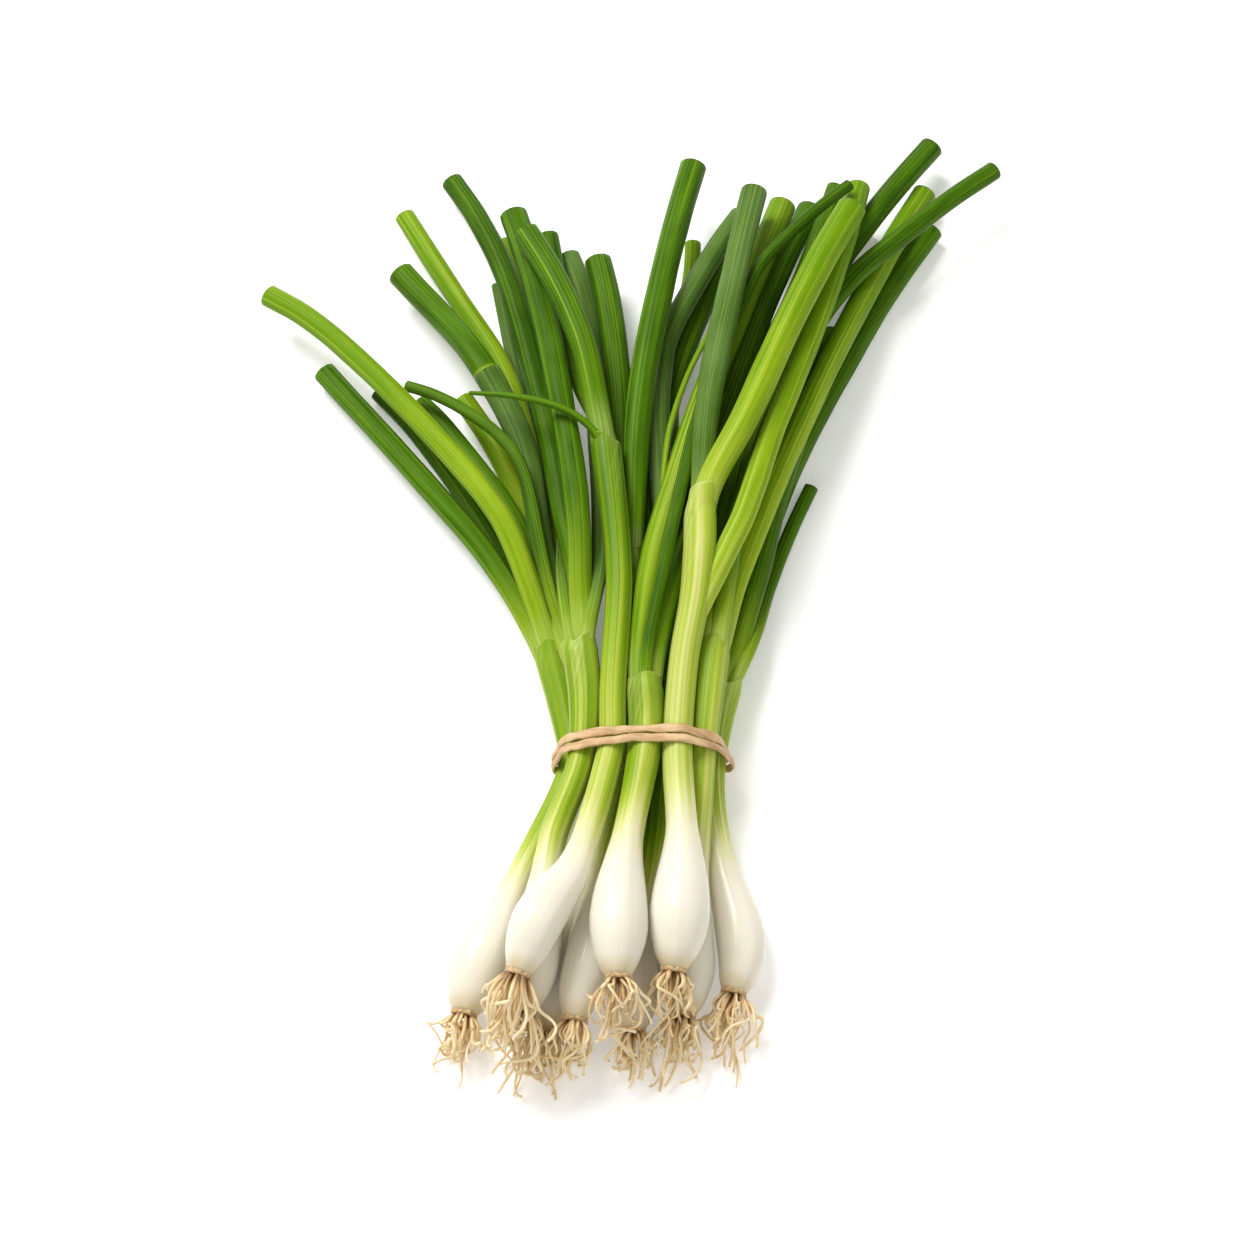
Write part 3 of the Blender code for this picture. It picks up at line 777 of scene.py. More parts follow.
@dataclass
class Strand:
    """A tube's middle line, from its base to its tip, with its radii."""

    middle: np.ndarray
    radii: np.ndarray

    FLAT = 1 - 1e-5     # least cosine between the normals of faces in one plane
    ROUND = 0.01        # how far a ring's corners may differ in their distance from its middle, as a share

    @classmethod
    def of_node(cls, name: str, sides: int) -> "Strand":
        """Read a CAD node's rings back.

        Args:
            name: The node, whose tip lies at the higher Y.
            sides: How many corners each of its rings has.

        Returns:
            Its strand.
        """
        skin = bmesh.new()
        skin.from_mesh(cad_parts[name].data)
        bmesh.ops.remove_doubles(skin, verts=skin.verts, dist=TOUCHING)
        skin.normal_update()
        rings = [cls._base_ring(skin, sides)]
        seen = set(rings[0])
        while True:
            ring = {edge.other_vert(vert) for vert in rings[-1] for edge in vert.link_edges} - seen
            if len(ring) != sides:
                break
            seen |= ring
            rings.append(list(ring))
        corners = [np.array([vert.co for vert in ring]) for ring in rings]
        skin.free()
        middle = np.array([ring.mean(axis=0) for ring in corners])
        radii = np.array([np.linalg.norm(ring - ring.mean(axis=0), axis=1).mean() for ring in corners])
        return cls(middle, radii)

    @staticmethod
    def _base_ring(skin: bmesh.types.BMesh, sides: int) -> list[bmesh.types.BMVert]:
        """Find the flat and round end at the lower Y.

        Args:
            skin: The tube.
            sides: How many corners the end has.

        Returns:
            Its corners.
        """
        found = []
        for face in skin.faces:
            patch, waiting = {face}, [face]
            while waiting and len(patch) < sides:
                for edge in waiting.pop().edges:
                    for other in edge.link_faces:
                        if other not in patch and other.normal.dot(face.normal) > Strand.FLAT:
                            patch.add(other)
                            waiting.append(other)
            corners = {vert for member in patch for vert in member.verts}
            if len(patch) != sides - 2 or len(corners) != sides:
                continue
            places = np.array([vert.co for vert in corners])
            reach = np.linalg.norm(places - places.mean(axis=0), axis=1)
            if reach.std() < Strand.ROUND * reach.mean():
                found.append((places[:, 1].mean(), list(corners)))
        return min(found, key=lambda pair: pair[0])[1]

    @property
    def length(self) -> float:
        """Length of the middle line."""
        return float(arc_length(self.middle)[-1])

    def at(self, distances: np.ndarray) -> "Strand":
        """The same strand with other points.

        Args:
            distances: How far each of them lies from the base.

        Returns:
            The strand.
        """
        along = arc_length(self.middle)
        radii = through(self.radii[:, None], along, distances)[:, 0]
        return Strand(through(self.middle, along, distances), radii)


def new_piece(name: str, mesh: bpy.types.Mesh,
              material: bpy.types.Material | None = None) -> bpy.types.Object:
    """Put a mesh in the scene as a smooth piece.

    Args:
        name: Name of the piece.
        mesh: Its mesh.
        material: What it is made of, unless its mesh says so already.

    Returns:
        The piece.
    """
    mesh.name = name
    piece = bpy.data.objects.new(name, mesh)
    bpy.context.scene.collection.objects.link(piece)
    mesh.polygons.foreach_set("use_smooth", [True] * len(mesh.polygons))
    if material is not None:
        mesh.materials.append(material)
    return piece


def with_ends(values: np.ndarray, width: int) -> np.ndarray:
    """Numbers or vectors for the points of rings, then for the middles of the first and the last ring."""
    ends = [values[end].reshape(-1, width).mean(axis=0) for end in (0, -1)]
    return np.concatenate([values.reshape(-1, width), ends])


def loft(name: str, rows: np.ndarray, material: bpy.types.Material,
         **attributes: np.ndarray) -> bpy.types.Object:
    """A closed skin through rings of points.

    Args:
        name: Name of the piece.
        rows: Points, as rings by corners by three; a ring turns anticlockwise seen from the far end.
        material: What it is made of.
        attributes: A number or vector for each point, by name.

    Returns:
        The piece.
    """
    rings, sides = rows.shape[:2]
    corner = np.arange(sides)
    following = (corner + 1) % sides
    faces = []
    for ring in range(rings - 1):
        low, high = ring * sides, (ring + 1) * sides
        faces += np.column_stack([low + corner, low + following, high + following, high + corner]).tolist()
    first, last, far = rings * sides, rings * sides + 1, (rings - 1) * sides
    faces += [[first, int(b), int(a)] for a, b in zip(corner, following)]
    faces += [[last, far + int(a), far + int(b)] for a, b in zip(corner, following)]
    mesh = bpy.data.meshes.new(name)
    mesh.from_pydata(with_ends(rows, 3).tolist(), [], faces)
    for label, values in attributes.items():
        width, kind, key = (3, "FLOAT_VECTOR", "vector") if values.ndim == 3 else (1, "FLOAT", "value")
        flat = with_ends(values, width).ravel().astype(np.float32)
        mesh.attributes.new(label, kind, "POINT").data.foreach_set(key, flat)
    return new_piece(name, mesh, material)


def path_mesh(name: str, points: np.ndarray, **attributes: np.ndarray) -> bpy.types.Mesh:
    """A line of edges through points.

    Args:
        name: Name of the mesh.
        points: The line.
        attributes: A number for each point, by name.

    Returns:
        The mesh.
    """
    mesh = bpy.data.meshes.new(name)
    mesh.from_pydata(points.tolist(), [(k, k + 1) for k in range(len(points) - 1)], [])
    for label, values in attributes.items():
        mesh.attributes.new(label, "FLOAT", "POINT").data.foreach_set("value", values.astype(np.float32))
    return mesh


def settle_in(piece: bpy.types.Object, slot: str, *nodes: str) -> None:
    """Give a finished piece its body, hide the CAD nodes that it replaces and log its face count.

    Args:
        piece: The piece.
        slot: Not used.
        nodes: The CAD nodes that it replaces.
    """
    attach(piece, BODY)
    if nodes:
        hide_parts(*nodes)
    log.info("%s: %d faces", piece.name, len(piece.data.polygons))


# --- leaves ----------------------------------------------------------------------------------------------
@dataclass
class Leaf:
    """One leaf's own form, on the strand of its CAD node."""

    letter: str
    tint: Tint
    pale_length: float = 0.045     # how far up from the fork it still pales into the sheath
    flatness: float = 0.88
    ribs: int = 11
    keel: float = 0.09             # height of its lengthwise ridge, as a share of its radius
    keel_at: float = 0.3           # where round the leaf the ridge runs, as a share of a turn; the flank on one side of it is painted lighter
    base_share: float = 0.74       # its radius at the fork, as a share of the stem's
    from_end_of: str = ""          # the leaf whose end it comes out of
    from_side: bool = False        # it leaves the side of the stem
    mood: float = 0.0              # how much lighter it is than its kind
    seed: float = 0.0              # where in the noise its pattern lies

    @property
    def from_fork(self) -> bool:
        """Whether it leaves the stem's end, as most leaves do."""
        return not (self.from_end_of or self.from_side)


class LeafBlades:
    """Hollow round leaves, swept along their strands by one node tree."""

    SIDES = 28
    STEP = 0.0016           # between the rings of a leaf
    KEEL_WIDTH = 0.09       # half the ridge's width, as a share of a turn
    LUMPS = (90.0, 90.0, 34.0)      # lumps a metre
    PLAIN_FOOT = 0.03       # ribs and lumps reach their full height at this distance
    RIB_DEPTH = 0.012       # this and the next three are shares of the leaf's radius
    UNEVENNESS = 0.16
    HOLLOW = 1.6            # depth of the open tip
    WALL = 0.22
    WALL_LIMIT = 0.0007
    SLANT = -0.25           # how far the cut wall leans back, as a share of its width
    TIP_PAST = 0.01         # the open edge past this distance is the tip's, and the other is the base's

    def __init__(self) -> None:
        """Build the tree."""
        net = GrowNet("leaf_blade", Flatness=float, RibCount=int, RibDepth=float, Unevenness=float,
                      KeelAt=float, KeelHeight=float, Wall=float, Hollow=float, Seed=float,
                      Material=bpy.types.Material)
        self.net = net
        path = net.node("GeometryNodeMeshToCurve", {}, {"Mesh": net.value("Geometry")})
        path = net.node("GeometryNodeSetCurveNormal", {"mode": "Z_UP"}, {"Curve": path})
        path, run, heart, ahead = net.capture(
            path, run=("FLOAT", net.node("GeometryNodeSplineParameter", result="Length")),
            heart=("VECTOR", net.position()), ahead=("VECTOR", net.node("GeometryNodeInputTangent")))
        ring, turn = net.capture(net.circle(self.SIDES),
                                 turn=("FLOAT", net.node("GeometryNodeSplineParameter")))
        squash = net.node("ShaderNodeCombineXYZ", {}, {"X": 1.0, "Y": net.value("Flatness"), "Z": 1.0})
        ring = net.node("GeometryNodeTransform", {}, {"Geometry": ring, "Scale": squash})
        blade = net.node("GeometryNodeCurveToMesh", {},
                         {"Curve": path, "Profile Curve": ring, "Scale": net.stored("girth")})
        blade = self._ribbed(blade, run, heart, turn)
        net.close(self._hollow(blade, run, heart, ahead))

    def _ribbed(self, blade: Wire, run: Wire, heart: Wire, turn: Wire) -> Wire:
        """Raise ribs, a keel and lumps, and store what the finish reads.

        Args:
            blade: The open tube.
            run, heart, turn: Distance, middle and share of a turn at each of its points.

        Returns:
            The tube with its relief.
        """
        net = self.net
        angle = turn * TAU
        grain = net.node("ShaderNodeCombineXYZ", {}, {
            "X": net.maths("COSINE", angle) * GRAIN_RADIUS, "Y": net.maths("SINE", angle) * GRAIN_RADIUS,
            "Z": run})
        grain = net.vector("ADD", grain, net.scale((0.37, 0.11, 0.73), net.value("Seed")))
        past_keel = turn - net.value("KeelAt")
        keel = 1 - net.maths("PINGPONG", past_keel, 0.5).step(0.0, self.KEEL_WIDTH)
        blade = net.store(blade, "grain", grain, "FLOAT_VECTOR")
        blade = net.store(blade, "run", run)
        blade = net.store(blade, "keel", keel)
        # facet: share of a turn past the ridge, by which the leaf finish paints one flank lighter than the
        # other
        blade = net.store(blade, "facet", net.maths("FRACT", past_keel))
        ribs = net.maths("COSINE", angle * net.value("RibCount"))
        lumps = net.drawn_out(grain, self.LUMPS, 1.0)
        height = (ribs * net.value("RibDepth") + keel * net.value("KeelHeight")
                  + (lumps - 0.5) * net.value("Unevenness")) * run.step(0.0, self.PLAIN_FOOT)
        outward = net.vector("NORMALIZE", net.vector("SUBTRACT", net.position(), heart))
        return net.move(blade, net.scale(outward, height))

    def _hollow(self, blade: Wire, run: Wire, heart: Wire, ahead: Wire) -> Wire:
        """Turn the open tip in as a cut wall with a hollow behind it, and close both ends.

        Args:
            blade: The open tube.
            run, heart, ahead: Distance, middle and direction at each of its points.

        Returns:
            The closed leaf.
        """
        net = self.net
        loose = net.node("FunctionNodeCompare", {"data_type": "INT", "operation": "EQUAL"},
                         {"A": net.node("GeometryNodeInputMeshEdgeNeighbors"), "B": 1})
        far = net.node("FunctionNodeCompare", {"data_type": "FLOAT", "operation": "GREATER_THAN"},
                       {"A": run, "B": self.TIP_PAST})
        tip = net.node("FunctionNodeBooleanMath", {"operation": "AND"}, {0: loose, 1: far})
        base = net.node("FunctionNodeBooleanMath", {"operation": "NIMPLY"}, {0: loose, 1: far})
        rim = net.stored("rim", "BOOLEAN")
        inward = net.vector("SUBTRACT", heart, net.position())
        wall = net.scale(net.vector("NORMALIZE", inward), net.value("Wall"))
        lip = net.vector("ADD", wall, net.scale(ahead, net.value("Wall") * self.SLANT))
        blade = self._extrude(net.store(blade, "cut", 0.0), base, inward)
        blade = self._extrude(blade, tip, lip)
        blade = net.node("GeometryNodeStoreNamedAttribute", {"data_type": "FLOAT", "domain": "POINT"},
                         {"Geometry": blade, "Selection": rim, "Name": "cut", "Value": 1.0})
        blade = self._extrude(blade, rim, net.scale(ahead, net.value("Hollow") * -1))
        blade = self._extrude(blade, rim, inward)
        return net.node("GeometryNodeMergeByDistance", {}, {"Geometry": blade, "Distance": TOUCHING})

    def _extrude(self, blade: Wire, edges: Wire, move: Wire) -> Wire:
        """Draw boundary edges out, and remember the new ones as "rim".

        Args:
            blade: The leaf so far.
            edges: Which edges.
            move: How far each of their points goes.

        Returns:
            The leaf with the new faces.
        """
        net = self.net
        drawn = net.node("GeometryNodeExtrudeMesh", {"mode": "EDGES"},
                         {"Mesh": blade, "Selection": edges, "Offset": move, "Offset Scale": 1.0})
        return net.node("GeometryNodeStoreNamedAttribute", {"data_type": "BOOLEAN", "domain": "EDGE"},
                        {"Geometry": drawn, "Name": "rim", "Value": net.take(drawn, "Top")})

    def sweep(self, name: str, points: np.ndarray, girth: np.ndarray, tone: np.ndarray, fork: float,
              leaf: Leaf, material: bpy.types.Material) -> bpy.types.Object:
        """Make one leaf.

        Args:
            name: Name of the piece.
            points: Its middle line.
            girth: Its radius at each point.
            tone: 0 where it is still pale sheath, 1 where it is leaf.
            fork: How green the stem is where the leaf leaves it.
            leaf: Its own form.
            material: What it is made of.

        Returns:
            The piece.
        """
        start = path_mesh(name + "_path", points, girth=girth, tone=tone, fork=np.full(len(points), fork),
                          mood=np.full(len(points), leaf.mood))
        wide = float(girth[-1])
        return self.net.grow(name, start, {
            "Flatness": leaf.flatness, "RibCount": leaf.ribs, "RibDepth": wide * self.RIB_DEPTH,
            "Unevenness": wide * self.UNEVENNESS, "KeelAt": leaf.keel_at, "KeelHeight": wide * leaf.keel,
            "Wall": min(self.WALL_LIMIT, wide * self.WALL), "Hollow": wide * self.HOLLOW, "Seed": leaf.seed,
            "Material": material})


# --- roots -----------------------------------------------------------------------------------------------
@dataclass
class Roots:
    """How one onion's roots grow."""

    length: float
    count: int = 30
    spread: float = 1.45           # how far the outer ones lean away from the stem's line
    droop: float = 0.45
    wave: float = 0.52
    thickness: float = 0.00058     # radius of a root


class RootTufts:
    """Wavy roots that spread from a root plate and hang to the table, grown by one node tree."""

    STATIONS = 22
    SIDES = 6
    PLATE_SHARE = 0.92      # the roots start within this share of the stem's radius
    PLATE_DEPTH = 0.0009    # and this far past the stem's end
    LEAN = (0.5, 1.5)       # least and most of their leaning out, as shares of the tuft's
    REACH = (0.5, 1.0)      # of their length
    GIRTH = (0.72, 1.15)    # and of their thickness
    PHASES = (0.0, 50.0)    # where in the noise their waves begin
    TURN_BACK = -0.42       # how far they close again towards their ends
    LONG_WAVES = 0.9        # how fast the waves change along a root
    SHORT_WAVES = 2.0
    KINK = 0.07             # height of the short waves, as a share of the long ones
    ONTO_TABLE = 0.002      # height within which a root bends onto the table
    TAPER = 0.28            # how much thinner they are at their ends
    LUMPS = 0.3             # how uneven their thickness is

    def __init__(self) -> None:
        """Build the tree."""
        net = GrowNet("root_tuft", Centre=Vector, Axis=Vector, Side=Vector, Up=Vector, PlateRadius=float,
                      Roots=int, Length=float, Spread=float, Droop=float, Wave=float, Thickness=float,
                      Seed=int, Material=bpy.types.Material)
        self.net = net
        index = net.node("GeometryNodeInputIndex")
        seed = net.value("Seed")
        share = ((index + 0.5) / net.value("Roots")) ** 0.5
        angle = index * GOLDEN_ANGLE + net.random(-0.5, 0.5, seed)
        radial = net.vector("ADD", net.scale(net.value("Side"), net.maths("COSINE", angle)),
                            net.scale(net.value("Up"), net.maths("SINE", angle)))
        start = net.vector("ADD", net.value("Centre"), net.scale(radial, net.value("PlateRadius") * share))
        lean = net.value("Spread") * share * net.random(*self.LEAN, seed + 1)
        heading = net.vector("NORMALIZE", net.vector("ADD", net.value("Axis"), net.scale(radial, lean)))
        points = net.node("GeometryNodePoints", {}, {"Count": net.value("Roots"), "Position": start})
        for name, vector in (("start", start), ("heading", heading), ("outward", radial)):
            points = net.store(points, name, vector, "FLOAT_VECTOR")
        numbers = {"share": share, "reach": net.value("Length") * net.random(*self.REACH, seed + 2),
                   "phase": net.random(*self.PHASES, seed + 3), "thick": net.random(*self.GIRTH, seed + 4)}
        for name, number in numbers.items():
            points = net.store(points, name, number)
        line = net.node("GeometryNodeCurvePrimitiveLine", {}, {"End": (0.0, 0.0, 1.0)})
        line = net.node("GeometryNodeResampleCurve", {}, {"Curve": line, "Count": self.STATIONS})
        roots = net.node("GeometryNodeInstanceOnPoints", {}, {"Points": points, "Instance": line})
        roots = net.node("GeometryNodeRealizeInstances", {}, {"Geometry": roots})
        net.close(self._sweep(self._bend(roots)))

    def _bend(self, roots: Wire) -> Wire:
        """Lead each root from its start along its heading, wavy and drooping, and lay it on the table.

        Args:
            roots: A straight line for each root.

        Returns:
            The bent lines.
        """
        net = self.net
        part = net.node("GeometryNodeSplineParameter")
        reach, phase = net.stored("reach"), net.stored("phase")
        wave = reach * net.value("Wave")
        moves = (
            net.scale(net.stored("heading", "FLOAT_VECTOR"), reach * part),
            net.scale(net.stored("outward", "FLOAT_VECTOR"),
                      reach * net.value("Spread") * self.TURN_BACK * part ** 2.0),
            net.node("ShaderNodeCombineXYZ", {}, {"Z": reach * net.value("Droop") * -1 * part ** 1.7}),
            self._wobble(part * self.LONG_WAVES + phase, wave * part ** 1.5),
            self._wobble(part * self.SHORT_WAVES + phase, wave * self.KINK * part ** 0.8))
        place = net.stored("start", "FLOAT_VECTOR")
        for move in moves:
            place = net.vector("ADD", place, move)
        across = net.node("ShaderNodeSeparateXYZ", {}, {0: place}, "X")
        height = net.maths("SMOOTH_MAX", net.take(across, "Z") - net.value("Thickness"), 0.0, self.ONTO_TABLE)
        laid = net.node("ShaderNodeCombineXYZ", {}, {"X": across, "Y": net.take(across, "Y"),
                                                     "Z": height + net.value("Thickness")})
        return net.node("GeometryNodeSetPosition", {}, {"Geometry": roots, "Position": laid})

    def _wobble(self, place: Wire, size: Wire) -> Wire:
        """A smooth random move.

        Args:
            place: Where in the noise it is read.
            size: How far it goes at most each way.

        Returns:
            The move.
        """
        net = self.net
        noise = net.node("ShaderNodeTexNoise", {"noise_dimensions": "1D"},
                         {"W": place, "Scale": 1.6, "Detail": 0.0}, "Color")
        return net.scale(net.vector("SUBTRACT", noise, (0.5, 0.5, 0.5)), size * 2)

    def _sweep(self, roots: Wire) -> Wire:
        """Give the roots their uneven thickness, less to their ends.

        Args:
            roots: Their lines.

        Returns:
            The roots.
        """
        net = self.net
        part = net.node("GeometryNodeSplineParameter")
        lumps = net.node("ShaderNodeTexNoise", {"noise_dimensions": "1D"},
                         {"W": part * 4.0 + net.stored("phase"), "Scale": 2.0, "Detail": 1.0})
        uneven = 1.04 - part * self.TAPER + (lumps - 0.5) * self.LUMPS
        girth = net.value("Thickness") * net.stored("thick") * uneven
        roots, along = net.capture(roots, part=("FLOAT", part))
        mesh = net.node("GeometryNodeCurveToMesh", {}, {
            "Curve": roots, "Profile Curve": net.circle(self.SIDES), "Scale": girth, "Fill Caps": True})
        return net.store(mesh, "along", along)


# --- onions ----------------------------------------------------------------------------------------------
@dataclass
class Onion:
    """One onion: where its stem and leaves run, its root plate and roots, and its leaves."""

    number: int
    roots: Roots
    leaves: list[Leaf]
    green_from: float = 0.031              # distance from the root plate at which the white ends
    green_by: float = 0.072                # distance at which the stem is plain green
    stem_tone: float = 0.55                # how green it is there
    fork_tone: float = 0.62                # how green it is at the fork
    sheath_low: float = 0.0015             # how far the sheath reaches past the fork between two leaves
    sheath_high: float = 0.0050            # and on a leaf's outer side
    scar_shows: float = 1.0                # how plainly the fork's pale fibres show
    flare: float = 0.32                    # how much wider the stem is at the fork
    swell: float = fixed(0.06)             # length in which a leaf gets its full width
    rooted: float = fixed(0.016)           # how far a leaf goes down into the stem
    joined: float = fixed(0.036)           # length in which a leaf's line is drawn to the stem's end
    nested_joined: float = fixed(0.05)     # the same where it comes out of another leaf
    nested_share: float = fixed(0.94)      # its radius there, as a share of the other leaf's
    clear: float = fixed(0.0004)           # least distance between a leaf's root and the stem's skin
    slimmest: float = fixed(0.0006)        # least radius of a leaf's root
    side_reach: float = fixed(0.026)       # how far down the stem a leaf on its side begins
    side_root: float = fixed(0.012)        # length of that leaf's root in the stem
    side_free: float = fixed(0.02)         # distance from which that leaf keeps its own line
    foot: float = fixed(0.01)              # length of stem that gives the root plate its direction
    lumpiness: float = fixed(0.035)        # of the root plate, as a share of its radius
    moods: float = fixed(0.18)             # how much a leaf's lightness may differ from its kind

    # Rings of a root plate: distance past the stem's end, share of the stem's radius, and how brown.
    PLATE = ((-0.0012, 0.96, 0.0), (-0.0002, 1.06, 0.0), (0.0005, 1.08, 0.0),
             (0.0010, 0.98, 0.1), (0.0010, 0.80, 0.7), (0.0006, 0.45, 1.0))

    def __post_init__(self) -> None:
        """Read the strands of its nodes."""
        prefix = f"onion_{self.number}_"
        self.stem = Strand.of_node(prefix + "bulb_stem", 10)
        self.blades = {leaf.letter: Strand.of_node(prefix + "leaf_" + leaf.letter, 8) for leaf in self.leaves}
        self.random = np.random.default_rng(100 + self.number)

    def waves(self, turn: np.ndarray, counts: tuple[int, ...]) -> np.ndarray:
        """A sum of cosines round the stem, one for each number of waves, and each turned at random."""
        return sum(np.cos(count * turn + self.random.uniform(0, TAU)) for count in counts)

    def leaf_line(self, leaf: Leaf) -> tuple[np.ndarray, np.ndarray, np.ndarray]:
        """The line that a leaf is swept along, with its root in the stem or in another leaf.

        Args:
            leaf: The leaf.

        Returns:
            Its points, radii and tone.
        """
        strand = self.blades[leaf.letter]
        nested = bool(leaf.from_end_of)
        parent = self.blades[leaf.from_end_of] if nested else self.stem
        end = float(parent.radii[-1])
        along = np.linspace(0.0, strand.length, int(strand.length / LeafBlades.STEP))
        fine = strand.at(along)
        grown = float(np.interp(self.swell, along, fine.radii))
        base = min(end * (self.nested_share if nested else leaf.base_share), grown)
        girth = np.maximum(fine.radii, base + (grown - base) * ease(along / self.swell))
        if leaf.from_side:
            return self._side_line(leaf, fine, along, girth, base)
        offset = strand.middle[0] - parent.middle[-1]
        kept = offset * 0.0
        if not nested:
            play = end * (1.0 + self.flare - leaf.base_share)
            kept = offset * min(1.0, play / float(np.linalg.norm(offset)))
        pull = 1 - ease(along / (self.nested_joined if nested else self.joined))
        down = np.arange(self.rooted, 0.0, -LeafBlades.STEP)
        inside = parent.at(parent.length - down)
        room = np.maximum(inside.radii - float(np.linalg.norm(kept)) - self.clear, self.slimmest)
        root = inside.middle + kept * ease(1 - down / self.rooted)[:, None]
        points = np.concatenate([root, fine.middle - (offset - kept) * pull[:, None]])
        points = relax(points, len(down))
        girth = np.concatenate([np.minimum(room, girth[0]), girth])
        return points, girth, ease((arc_length(points) - self.rooted) / leaf.pale_length)

    def _side_line(self, leaf: Leaf, fine: Strand, along: np.ndarray, girth: np.ndarray,
                   base: float) -> tuple[np.ndarray, np.ndarray, np.ndarray]:
        """The line of a leaf that leaves the side of the stem: it comes out of the stem in one long bend.

        Args:
            leaf: The leaf.
            fine: Its CAD strand in fine steps.
            along, girth: Distance and radius at each of them.
            base: Its radius in the stem.

        Returns:
            As leaf_line() gives.
        """
        nearest = int(np.argmin(np.linalg.norm(self.stem.middle - fine.middle[0], axis=1)))
        begins = float(arc_length(self.stem.middle)[nearest]) - self.side_reach
        root = self.stem.at(begins - np.linspace(self.side_root, 0.0, 5)).middle
        free = along > self.side_free
        knots = np.concatenate([root, fine.middle[free]])
        at = arc_length(knots)
        steps = np.linspace(0.0, at[-1], int(at[-1] / LeafBlades.STEP))
        thick = np.interp(steps, at, np.concatenate([np.full(len(root), base), girth[free]]))
        return through(knots, at, steps), thick, ease((steps - at[len(root) - 1]) / leaf.pale_length)

    def make_leaves(self, blades: LeafBlades, wardrobe: Wardrobe) -> None:
        """Sweep its leaves.

        Args:
            blades: The tree that sweeps them.
            wardrobe: The finishes.
        """
        for leaf in self.leaves:
            node = f"onion_{self.number}_leaf_{leaf.letter}"
            leaf.seed = self.number + 0.1 * ord(leaf.letter)
            leaf.mood += self.random.uniform(-self.moods, self.moods)
            piece = blades.sweep(node + "_blade", *self.leaf_line(leaf), self.fork_tone, leaf,
                                 wardrobe.leaves[leaf.tint])
            settle_in(piece, leaf.tint.value, node)

    def make_roots(self, tufts: RootTufts, wardrobe: Wardrobe) -> None:
        """Make the root plate and grow the roots from it.

        Args:
            tufts: The tree that grows them.
            wardrobe: The finishes.
        """
        foot = self.stem.at(np.linspace(0.0, self.foot, 6))
        ahead, side, up = directions(foot.middle)
        start, axis, radius = foot.middle[0], -ahead[0], float(self.stem.radii[0])
        settle_in(self._plate(start, axis, side[0], up[0], radius, wardrobe), "roots")
        spec = self.roots
        name = f"onion_{self.number}_roots"
        piece = tufts.net.grow(name + "_strands", bpy.data.meshes.new("seed"), {
            "Centre": tuple(start + axis * tufts.PLATE_DEPTH), "Axis": tuple(axis), "Side": tuple(side[0]),
            "Up": tuple(up[0]), "PlateRadius": radius * tufts.PLATE_SHARE, "Roots": spec.count,
            "Length": spec.length, "Spread": spec.spread, "Droop": spec.droop, "Wave": spec.wave,
            "Thickness": spec.thickness, "Seed": self.number * 10, "Material": wardrobe.roots})
        settle_in(piece, "roots", name)

    def _plate(self, start: np.ndarray, axis: np.ndarray, side: np.ndarray, up: np.ndarray, radius: float,
               wardrobe: Wardrobe) -> bpy.types.Object:
        """The root plate: a lumpy rim round a darker middle.

        Args:
            start: The stem's end.
            axis, side, up: The directions out of it, sideways and upwards.
            radius: The stem's radius there.
            wardrobe: The finishes.

        Returns:
            The piece.
        """
        turn = np.linspace(0.0, TAU, STEM_SIDES, endpoint=False)
        width = radius * (1 + self.waves(turn, (4, 7, 11, 17)) * self.lumpiness)
        outward = around(turn, side, -up)
        rows = np.array([start + axis * out + outward * (width * share)[:, None]
                         for out, share, _ in self.PLATE])
        inner = np.array([np.full(STEM_SIDES, brown) for _, _, brown in self.PLATE])
        return loft(f"onion_{self.number}_root_plate", rows, wardrobe.plate, inner=inner)


